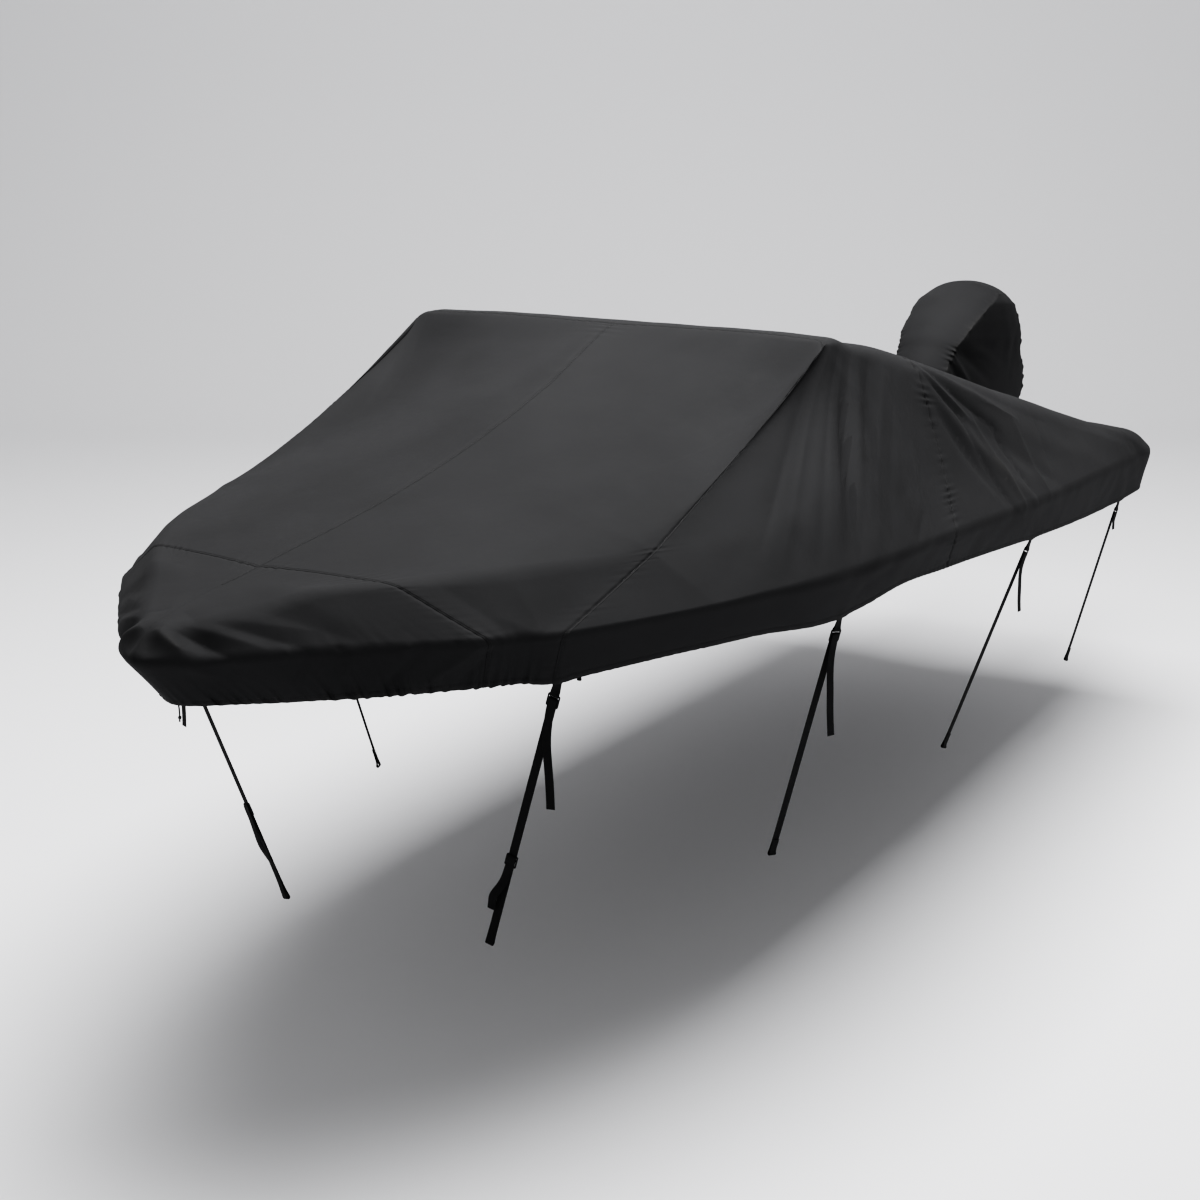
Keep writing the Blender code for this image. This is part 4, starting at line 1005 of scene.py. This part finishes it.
def offset_line(outer, inner, axis, index, distance):
    """Points and normals at a distance from one row (axis 0) or column (axis 1) of a side."""
    if axis:
        outer, inner = outer.swapaxes(0, 1), inner.swapaxes(0, 1)
    index %= len(outer)
    step = -1 if index == len(outer) - 1 else 1
    rows = [k for k in range(index, index + 40 * step, step) if 0 <= k < len(outer)]
    strip, way = outer[rows], (outer[rows] - inner[rows]) / CLOTH
    walked = lengths_along(strip)
    before = np.clip((walked < distance).sum(axis=0) - 1, 0, len(rows) - 2)
    place = np.arange(strip.shape[1])
    passed, span = walked[before, place], walked[before + 1, place] - walked[before, place]
    share = np.clip((distance - passed) / span, 0, 1)[:, None]
    points, ways = [values[before, place] * (1 - share) + values[before + 1, place] * share
                    for values in (strip, way)]
    return points, unit(ways)


def fell(name, line):
    """A folded band. line gives points and normals at a distance from the seam."""
    lines = [(line(max(distance, 0.0002)), height) for distance, height in FELL_PROFILE]
    rings = np.stack([points + ways * height for (points, ways), height in lines], axis=1)
    walked = lengths_along(rings[:, 3])
    spread = np.array([(distance, along) for along in walked for distance, _ in FELL_PROFILE])
    return add_piece(name, ringed_mesh(name, rings, spread, np.full(len(spread), 0.08)), 60)


FELLS, STITCH_LINES = {}, {"port": [], "starboard": [], "hood": []}


def add_seam(name, panel, word, *seam):
    """A seam's folded band, sewn on a panel, and its two rows of stitches."""
    FELLS[name] = fell(name, lambda distance: offset_line(*seam, distance)), panel
    for distance in (0.0022, FELL_WIDTH - 0.0022):
        points, ways = offset_line(*seam, distance)
        STITCH_LINES[word].append((points + ways * 0.0007, ways))


for side, word in ((1, "port"), (-1, "starboard")):
    outer, inner, _ = SIDES[side]
    for station, name, panel in ((BOW_SEAM, "bow_seam_", "foredeck_" + word),
                                 (DIAGONAL_SEAM, "diagonal_seam_", "cabin_panel"),
                                 (AFT_SEAM, "aft_seam_", "stern_panel")):
        add_seam(name + word, panel, word, outer, inner, 0, ROW_OF[station])
    STITCH_LINES[word].append(offset_line(outer[2:-2], inner[2:-2], 1, -1, HEM_ROLL - 0.0025))
outer, inner = [part[1:ROW_OF[DIAGONAL_SEAM] + 1] for part in SIDES[1][:2]]
add_seam("centre_seam", "foredeck_port", "port", outer, inner, 1, 0)
print("felled seams:", sorted(FELLS))

# %% [markdown]
# A tab is sewn in with a box of stitches and a cross in it, which shows on the outside of the
# skirt and holds webbing better than one row. Each point is found by walking along the hem and
# then up the skirt, so the box lies on the cloth as it hangs. The hood's strip has two rows
# beside each of its seams.

# %% Stitched boxes over the tabs, and the hood's rows


def skirt_point(side, station, beside, up):
    """A point outside the skirt and the way out of it, beside a station and up from the hem."""
    outer, inner, _ = SIDES[side]
    hem_walk = lengths_along(outer)[:, -1]
    at = np.interp(station, STATION, hem_walk) + beside
    row = int(np.clip(np.searchsorted(hem_walk, at) - 1, 1, len(STATION) - 3))
    share = (at - hem_walk[row]) / (hem_walk[row + 1] - hem_walk[row])
    points, ways = offset_line(outer[row:row + 2], inner[row:row + 2], 1, -1, up)
    return points[0] * (1 - share) + points[1] * share, ways[0]


def stitched_box(side, station):
    """A box of stitches with a cross in it, the way that webbing is sewn to cloth."""
    a, b, c = 0.0095, 0.0045, TAB_REACH - 0.004
    corners = [(-a, b), (a, b), (a, c), (-a, c), (-a, b), (a, c), (a, c - 1e-4), (-a, c), (a, b)]
    places = []
    for start, end in zip(np.array(corners), np.array(corners[1:])):
        steps = max(2, int(np.hypot(*(end - start)) / 0.003))
        places += [start + (end - start) * k / steps for k in range(steps)]
    points, ways = zip(*[skirt_point(side, station, *place) for place in places])
    return np.array(points), np.array(ways)


for side, word in ((1, "port"), (-1, "starboard")):
    STITCH_LINES[word] += [stitched_box(side, station) for station in TIE_STATIONS[side]]
inside_of_strip = HOOD_STRIP - normals_towards(HOOD_STRIP, HOOD_OUTWARD) * CLOTH
for distance in (0.003, 0.010):
    STITCH_LINES["hood"] += [offset_line(HOOD_STRIP, inside_of_strip, 1, column, distance)
                             for column in (0, -1)]
print("rows of stitches:", {name: len(rows) for name, rows in STITCH_LINES.items()})

# %% [markdown]
# ## Drawcord
#
# A thin braided cord runs inside the hem round the bow, and its knotted end hangs out at the
# stem. Only sixty millimetres of it are free. The cord is a tube swept along its path. The
# knot is its own piece, because a cord keeps one thickness all the way.

# %% Drawcord's free end
CORD_RADIUS = 0.0021
KNOT_AT = 0.0385         # how far down the knot is
KNOT_SHAPE = ([0, 0.15, 0.5, 0.8, 1], [0.0041, 0.0046, 0.0042, 0.0032, 0.0016])


def tube(name, centre, radii, turns=14):
    """A closed tube through the centres, with a map of turns and metres."""
    tangents = unit(np.gradient(centre, axis=0))
    a = unit(np.cross(tangents, (0, 1, 0)))
    b = np.cross(tangents, a)
    angles = 2 * pi * np.arange(turns)[:, None] / turns
    rings = centre[:, None] + radii[:, None, None] * (a[:, None] * np.cos(angles)
                                                      + b[:, None] * np.sin(angles))
    spread = np.array([(c / turns, along) for along in lengths_along(centre) for c in range(turns)])
    mesh = ringed_mesh(name, rings, spread)
    braid_map = mesh.uv_layers["weave"].data
    for face in mesh.polygons:               # the last faces end at 1, not back at 0
        around = [braid_map[index].uv.x for index in face.loop_indices]
        for index in face.loop_indices:
            if braid_map[index].uv.x == 0 and max(around) > 1 - 1.5 / turns:
                braid_map[index].uv.x = 1.0
    return add_piece(name, mesh, 60)


def cord_place(drop):
    hem, up, inward, _ = hem_frame(0.012, 1)
    place = hem + inward * (CORD_RADIUS + 0.0012) - up * min(drop, 0.004)
    return place + np.array([0.002 * sin(drop * 60), 0, -max(drop - 0.004, 0)])


CORD_PATH = np.array([cord_place(drop) for drop in np.linspace(-0.012, 0.050, 40)])
CORD = tube("drawcord_end_braid", CORD_PATH, np.full(40, CORD_RADIUS))
KNOT_PATH = np.array([cord_place(KNOT_AT + offset) for offset in np.linspace(-0.0045, 0.0045, 25)])
KNOT = tube("drawcord_knot", KNOT_PATH, np.interp(abs(np.linspace(-1, 1, 25)), *KNOT_SHAPE))

# %% [markdown]
# ## Finishes
#
# Cover cloth is a plain weave of polyester with a coating on its inside. From a step away it
# is a matte, nearly black grey that turns paler at a glancing angle, where the fuzz of the
# threads catches the light. Close up it shows threads, small slubs, and a faint bloom of dust
# along its hem and seams. The crests of its raised folds are painted paler with the same colour,
# as a painted highlight. Each of these is a short chain of nodes. The weave reads the
# map in metres, and the broad tones read Object coordinates, so they don't stop at a seam.

# %% Helpers for node trees
THREAD = 0.0011          # metres from one thread pair to the next


def feed(tree, socket, value):
    """Links another node's output to a socket, or sets its value."""
    if isinstance(value, bpy.types.NodeSocket):
        tree.links.new(value, socket)
    else:
        socket.default_value = value


def add_node(tree, kind, feeds=(), **settings):
    """A node with its settings, its inputs fed by values or by other nodes' outputs."""
    made = tree.nodes.new(kind)
    for name, value in settings.items():
        setattr(made, name, value)
    for name, value in dict(feeds).items():
        feed(tree, made.inputs[name], value)
    return made


class Finish:
    """A material with its Principled shader, and short ways to add and join nodes."""

    def __init__(self, name, colour, roughness):
        self.material = bpy.data.materials.new(name)
        self.material.use_nodes = True
        self.tree = self.material.node_tree
        self.set({"Base Color": (*colour, 1), "Roughness": roughness})

    def set(self, values):
        for name, value in values.items():
            feed(self.tree, self.tree.nodes["Principled BSDF"].inputs[name], value)

    def node(self, kind, feeds=(), **settings):
        return add_node(self.tree, "ShaderNode" + kind, feeds, **settings)

    def math(self, operation, *values):
        return self.node("Math", dict(enumerate(values)), operation=operation).outputs[0]

    def times(self, a, b):
        return self.math("MULTIPLY", a, b)

    def plus(self, a, b):
        return self.math("ADD", a, b)

    def wave(self, value, length):
        """A sine that repeats each length."""
        return self.math("SINE", self.times(value, 2 * pi / length))

    def noise(self, where, scale, detail=2.0, roughness=0.5):
        feeds = {"Vector": where, "Scale": scale, "Detail": detail, "Roughness": roughness}
        return self.node("TexNoise", feeds).outputs["Fac"]

    def tones(self, factor, dark, light, low=0.3, high=0.7):
        """A colour between dark and light."""
        ramp = self.node("ValToRGB", {"Fac": factor})
        for element, position, colour in zip(ramp.color_ramp.elements, (low, high), (dark, light)):
            element.position, element.color = position, (*colour, 1)
        return ramp.outputs["Color"]

    def between(self, factor, low, high, from_low=0.3, from_high=0.7):
        return self.node("MapRange", {"From Min": from_low, "From Max": from_high, "To Min": low,
                                      "To Max": high, "Value": factor}).outputs["Result"]

    def bump(self, height, strength, distance, below=None):
        made = self.node("Bump", {"Height": height, "Strength": strength, "Distance": distance})
        if below is not None:
            feed(self.tree, made.inputs["Normal"], below)
        return made.outputs["Normal"]

    def place(self):
        return self.node("TexCoord").outputs["Object"]

    def along_cloth(self):
        """The piece's own map in metres, whole and split."""
        where = self.node("UVMap", uv_map="weave").outputs["UV"]
        return where, *list(self.node("SeparateXYZ", {"Vector": where}).outputs)[:2]


print("thread pitch:", THREAD * 1000, "mm")

# %% Cover cloth


def cover_cloth():
    cloth = Finish("coated_polyester", (0.031, 0.031, 0.0322), 0.76)
    where, u, v = cloth.along_cloth()
    threads = cloth.times(cloth.wave(u, THREAD), cloth.wave(v, THREAD))
    place = cloth.place()
    broad, cloudy = cloth.noise(place, 1.3, 3.0, 0.55), cloth.noise(place, 9.0, 4.0, 0.6)
    grain, rumple = cloth.noise(where, 900.0, 2.0, 0.6), cloth.noise(place, 34.0, 3.0, 0.5)
    stretched = cloth.node("Mapping", {"Vector": where, "Scale": (1.0, 0.05, 1.0)}).outputs["Vector"]
    slubs = cloth.noise(stretched, 700.0, 1.0)
    tone = cloth.plus(cloth.times(broad, 0.5), cloth.times(cloudy, 0.3))
    tone = cloth.plus(tone, cloth.times(grain, 0.2))
    colour = cloth.tones(tone, (0.0262, 0.0262, 0.0272), (0.0362, 0.0362, 0.0376), 0.35, 0.65)
    # The paler mix is dust along the hem and seams, and a painted highlight on the crests of raised folds.
    dust_and_highlight = cloth.node("Attribute", attribute_name="dust_and_highlight").outputs["Fac"]
    dust_and_highlight_mix = cloth.times(dust_and_highlight, cloth.between(cloudy, 0.25, 1.0, 0.35, 0.65))
    dusted_and_highlit_colour = cloth.node("Mix", {"Factor": dust_and_highlight_mix, "A": colour, "B": (0.053, 0.0523, 0.0512, 1)},
                        data_type="RGBA").outputs["Result"]
    fine = cloth.bump(cloth.math("MULTIPLY_ADD", threads, 0.5, 0.5), 0.25, 0.0003)
    fine = cloth.bump(slubs, 0.2, 0.0003, fine)
    cloth.set({"Base Color": dusted_and_highlit_colour, "Roughness": cloth.between(cloudy, 0.70, 0.82),
               "Normal": cloth.bump(rumple, 0.35, 0.0016, fine), "IOR": 1.22,
               "Specular IOR Level": 0.5, "Sheen Weight": 0.01, "Sheen Roughness": 0.5})
    return cloth.material


CLOTH_FINISH = cover_cloth()
print("made", CLOTH_FINISH.name)

# %% [markdown]
# The fittings are as dark as the cloth, and tell themselves apart by their surface. Webbing has
# ribs along it, each of short slanted stitches, which two sine waves draw on its own map; its
# colour is painted darker in the grooves between the ribs, as painted shade. The cord's braid is
# two families of strands, of which the higher one shows, and the lower strands are painted darker
# as shade. Moulded nylon keeps the fine sparkle of its mould, and thread has a twist: fine noise
# is enough for both, because they are too small for a pattern to be followed.

# %% Webbing, buckle, cord and thread


def webbing_finish():
    """Polypropylene webbing: ribs along it, each of short slanted stitches."""
    ribbed = Finish("ribbed_webbing", (0.011, 0.011, 0.012), 0.7)
    _, u, v = ribbed.along_cloth()
    rib = ribbed.wave(u, 0.0064)             # two ribs in a whole wave
    slant = ribbed.plus(ribbed.times(v, 2 * pi / 0.0026), ribbed.times(rib, 1.6))
    picks = ribbed.math("MULTIPLY_ADD", ribbed.math("SINE", slant), 0.5, 0.5)
    height = ribbed.times(ribbed.math("ABSOLUTE", rib), ribbed.plus(ribbed.times(picks, 0.5), 0.6))
    mottle = ribbed.noise(ribbed.place(), 60.0, 3.0)
    # Colour darker in the grooves between the ribs is painted shade; the mottle is random tone.
    groove_shade_and_mottle = ribbed.plus(ribbed.times(height, 0.6), ribbed.times(mottle, 0.4))
    ribbed.set({"Base Color": ribbed.tones(groove_shade_and_mottle, (0.008, 0.008, 0.0085), (0.024, 0.024, 0.025), 0.2, 0.9),
                "Roughness": ribbed.between(mottle, 0.62, 0.8),
                "Normal": ribbed.bump(height, 0.8, 0.0006), "Specular IOR Level": 0.22})
    return ribbed.material


def buckle_finish():
    """Moulded nylon with a fine spark texture and slightly rubbed tones."""
    nylon = Finish("moulded_nylon", (0.011, 0.011, 0.012), 0.5)
    place = nylon.place()
    spark, rub = nylon.noise(place, 2600.0, 2.0), nylon.noise(place, 140.0, 4.0)
    nylon.set({"Base Color": nylon.tones(rub, (0.008, 0.008, 0.009), (0.018, 0.018, 0.019), 0.4, 0.75),
               "Roughness": nylon.between(rub, 0.42, 0.60),
               "Normal": nylon.bump(spark, 0.3, 0.0001), "Specular IOR Level": 0.3})
    return nylon.material


def cord_finish():
    """A braid: two families of strands that cross as they climb round the cord."""
    braid = Finish("braided_polyester", (0.014, 0.014, 0.015), 0.6)
    _, u, v = braid.along_cloth()
    turn, climb = braid.times(u, 16 * pi), braid.times(v, 2 * pi / 0.0022)
    right, left = [braid.math("SINE", braid.math(way, turn, climb)) for way in ("ADD", "SUBTRACT")]
    height = braid.math("MULTIPLY_ADD", braid.math("MAXIMUM", right, left), 0.5, 0.5)
    # The lower strands get the darker colour: painted shade between the strands.
    braid.set({"Base Color": braid.tones(height, (0.006, 0.006, 0.007), (0.024, 0.024, 0.026)),
               "Normal": braid.bump(height, 0.9, 0.0005)})
    return braid.material


def thread_finish():
    """Bonded sewing thread, darker than the cloth and a little glossy, with its twist."""
    bonded = Finish("bonded_thread", (0.012, 0.012, 0.013), 0.5)
    twist = bonded.noise(bonded.place(), 1800.0, 1.0)
    bonded.set({"Base Color": bonded.tones(twist, (0.009, 0.009, 0.0095), (0.018, 0.018, 0.019)),
                "Normal": bonded.bump(twist, 0.4, 0.0002)})
    return bonded.material


FITTINGS = [make() for make in (webbing_finish, buckle_finish, cord_finish, thread_finish)]
WEBBING_FINISH, BUCKLE_FINISH, CORD_FINISH, THREAD_FINISH = FITTINGS
print("made", [finish.name for finish in FITTINGS])

# %% [markdown]
# ## Stitching
#
# The stitches repeat thousands of times, so Geometry Nodes place them. A polyline runs along
# each row and carries the cloth's normal at every point. The tree resamples it at the stitch
# pitch, turns one stitch along the line, and realizes the instances. One stitch is an
# icosphere of twenty faces, flattened and stretched: the smallest closed shape whose ends
# dive into the cloth like real thread. The tree has named inputs for its sizes.

# %% Stitching tree


def stitching_tree():
    tree = bpy.data.node_groups.new("stitching", "GeometryNodeTree")
    face = tree.interface
    face.new_socket("Geometry", in_out="OUTPUT", socket_type="NodeSocketGeometry")
    sockets = {}
    for name, kind, value in (("Geometry", "Geometry", None), ("Stitch Pitch", "Float", 0.006),
                              ("Stitch Length", "Float", 0.0046), ("Thread Thickness", "Float", 0.0009),
                              ("Unevenness", "Float", 0.06), ("Seed", "Int", 7),
                              ("Thread", "Material", None)):
        sockets[name] = face.new_socket(name, in_out="INPUT", socket_type="NodeSocket" + kind)
        if value is not None:
            sockets[name].default_value = value

    def add(kind, output, feeds=(), **settings):
        return add_node(tree, kind, feeds, **settings).outputs[output]

    size = tree.nodes.new("NodeGroupInput").outputs
    curve = add("GeometryNodeMeshToCurve", "Curve", {"Mesh": size["Geometry"]})
    spaced = add("GeometryNodeResampleCurve", "Curve",
                 {"Curve": curve, "Length": size["Stitch Pitch"]}, mode="LENGTH")
    ball = add("GeometryNodeMeshIcoSphere", "Mesh", {"Radius": 0.5, "Subdivisions": 1})
    scale = add("ShaderNodeCombineXYZ", "Vector",
                {"X": size["Stitch Length"], "Y": size["Thread Thickness"], "Z": size["Thread Thickness"]})
    stitch = add("GeometryNodeTransform", "Geometry", {"Geometry": ball, "Scale": scale})
    heading = add("GeometryNodeInputTangent", "Tangent")
    way = add("GeometryNodeInputNamedAttribute", "Attribute", {"Name": "way"}, data_type="FLOAT_VECTOR")
    chance = add("FunctionNodeRandomValue", "Value", {"Seed": size["Seed"], "Min": (-1, -1, -1),
                                                      "Max": (1, 1, 1)}, data_type="FLOAT_VECTOR")
    stray = add("ShaderNodeVectorMath", "Vector", {0: chance, "Scale": size["Unevenness"]},
                operation="SCALE")
    aim = add("ShaderNodeVectorMath", "Vector", {0: heading, 1: stray}, operation="ADD")
    turn = add("FunctionNodeAlignRotationToVector", "Rotation", {"Vector": aim}, axis="X")
    level = add("FunctionNodeAlignRotationToVector", "Rotation", {"Rotation": turn, "Vector": way},
                axis="Z", pivot_axis="X")
    placed = add("GeometryNodeInstanceOnPoints", "Instances",
                 {"Points": spaced, "Instance": stitch, "Rotation": level})
    solid = add("GeometryNodeRealizeInstances", "Geometry", {"Geometry": placed})
    sewn = add("GeometryNodeSetMaterial", "Geometry", {"Geometry": solid, "Material": size["Thread"]})
    tree.links.new(sewn, tree.nodes.new("NodeGroupOutput").inputs["Geometry"])
    return tree, {name: socket.identifier for name, socket in sockets.items()}


STITCHING, STITCH_SOCKETS = stitching_tree()
print("inputs:", list(STITCH_SOCKETS))

# %% Sew every row


def sew(name, rows, **sizes):
    """Stitches along the rows, as one plain mesh."""
    edges, first = [], 0
    for points, _ in rows:
        edges += [(first + k, first + k + 1) for k in range(len(points) - 1)]
        first += len(points)
    points, ways = [np.vstack(parts) for parts in zip(*rows)]
    mesh = bpy.data.meshes.new(name + "_rows")
    mesh.from_pydata(points.tolist(), edges, [])
    way = mesh.attributes.new("way", "FLOAT_VECTOR", "POINT")
    way.data.foreach_set("vector", ways.astype(np.float32).ravel())
    guide = add_object(name + "_rows", mesh)
    modifier = guide.modifiers.new("stitching", "NODES")
    modifier.node_group = STITCHING
    for key, value in {"Thread": THREAD_FINISH, **sizes}.items():
        modifier[STITCH_SOCKETS[key]] = value
    seen = guide.evaluated_get(bpy.context.evaluated_depsgraph_get())
    sewn = bpy.data.meshes.new_from_object(seen)
    bpy.data.objects.remove(guide, do_unlink=True)
    bpy.data.meshes.remove(mesh)
    return add_piece(name, sewn, 180)


HOOD_SIZES = {"Stitch Pitch": 0.0055, "Stitch Length": 0.0042}
STITCHES = [sew("stitches_" + word, rows, **(HOOD_SIZES if word == "hood" else {}))
            for word, rows in STITCH_LINES.items()]
for piece in STITCHES:
    print(piece.name, len(piece.data.polygons) // 20, "stitches")

# %% [markdown]
# ## Fitting the pieces to the frame
# Every piece rides on the one body and takes a finish, and a piece that stands for a plain solid hides it.
# The cloth says how large it was cut, and the cord how long it is.

# %% Ride and replace


def fit(piece, node, finish):
    piece.data.materials.clear()
    piece.data.materials.append(finish)
    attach(piece, "root")
    if node:
        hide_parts(node)


for piece, node, (length, width), area in CLOTH_PIECES:
    fit(piece, node, CLOTH_FINISH)
    bands = [band for band, panel in FELLS.values() if panel == node]
    for band in bands:
        fit(band, None, CLOTH_FINISH)
for stitches in STITCHES:
    fit(stitches, None, THREAD_FINISH)
for name, tab, strap, _, _ in TIES:
    for kind, held, (piece, length) in (("tab_", "folded", tab), ("strap_", "stretched", strap)):
        fit(piece, kind + name, WEBBING_FINISH)
for node, (buckle, _) in BUCKLES.items():
    fit(buckle, node, BUCKLE_FINISH)
for slide, _ in SLIDES:
    fit(slide, None, BUCKLE_FINISH)
fit(CORD, "drawcord_end", CORD_FINISH)
fit(KNOT, None, CORD_FINISH)
print("declared", len(CLOTH_PIECES) + 2 * len(TIES), "sheets and one cord")

# %% [markdown]
# ## Floor and light
#
# A dark cloth needs broad light: large soft panels give it long, slow gradients, and each fold
# a light flank and a dark one. The floor turns up into the backdrop in one curve, so the
# horizon doesn't cut the picture.

# %% Floor and backdrop
FLOOR = -2.06
BEND_AT, BEND = 9.0, 3.0         # where the floor turns up, and in what radius
LIGHTS = {"overhead": ((0.5, 0.5, 6.5), (0, 0.5, 0), 6.0, 1150),     # place, aim, size, power
          "front": ((7.0, -6.0, 5.0), (0, 0, -0.5), 5.0, 25)}


def add_floor():
    path = [(-14.0, FLOOR), (BEND_AT, FLOOR)]
    path += [(BEND_AT + BEND * sin(a), FLOOR + BEND * (1 - cos(a))) for a in np.linspace(0.1, pi / 2, 16)]
    path += [(BEND_AT + BEND, FLOOR + 12.0)]
    ahead = np.array([-sin(CAMERA_TURN), cos(CAMERA_TURN), 0])
    right = np.array([cos(CAMERA_TURN), sin(CAMERA_TURN), 0])
    points = [ahead * distance + right * side + (0, 0, height)
              for distance, height in path for side in (-16.0, 16.0)]
    mesh = bpy.data.meshes.new("floor")
    mesh.from_pydata(points, [], [[2 * k, 2 * k + 1, 2 * k + 3, 2 * k + 2] for k in range(len(path) - 1)])
    mesh.shade_smooth()
    mesh.materials.append(Finish("pale_floor", (0.72, 0.72, 0.735), 0.9).material)
    add_object("floor", mesh)


add_floor()
for name, (place, aim, size, power) in LIGHTS.items():
    panel = bpy.data.lights.new(name, "AREA")
    panel.size, panel.energy = size, power
    light = add_object(name, panel)
    light.location = place
    light.rotation_euler = (Vector(aim) - Vector(place)).to_track_quat("-Z", "Y").to_euler()
world = bpy.data.worlds.new("studio")
world.use_nodes = True
for name, value in (("Color", (1, 1, 1, 1)), ("Strength", 0.43)):
    world.node_tree.nodes["Background"].inputs[name].default_value = value
bpy.context.scene.world = world
bpy.context.scene.view_settings.look = "AgX - Very High Contrast"     # keeps dark cloth dark
print("floor at", FLOOR)
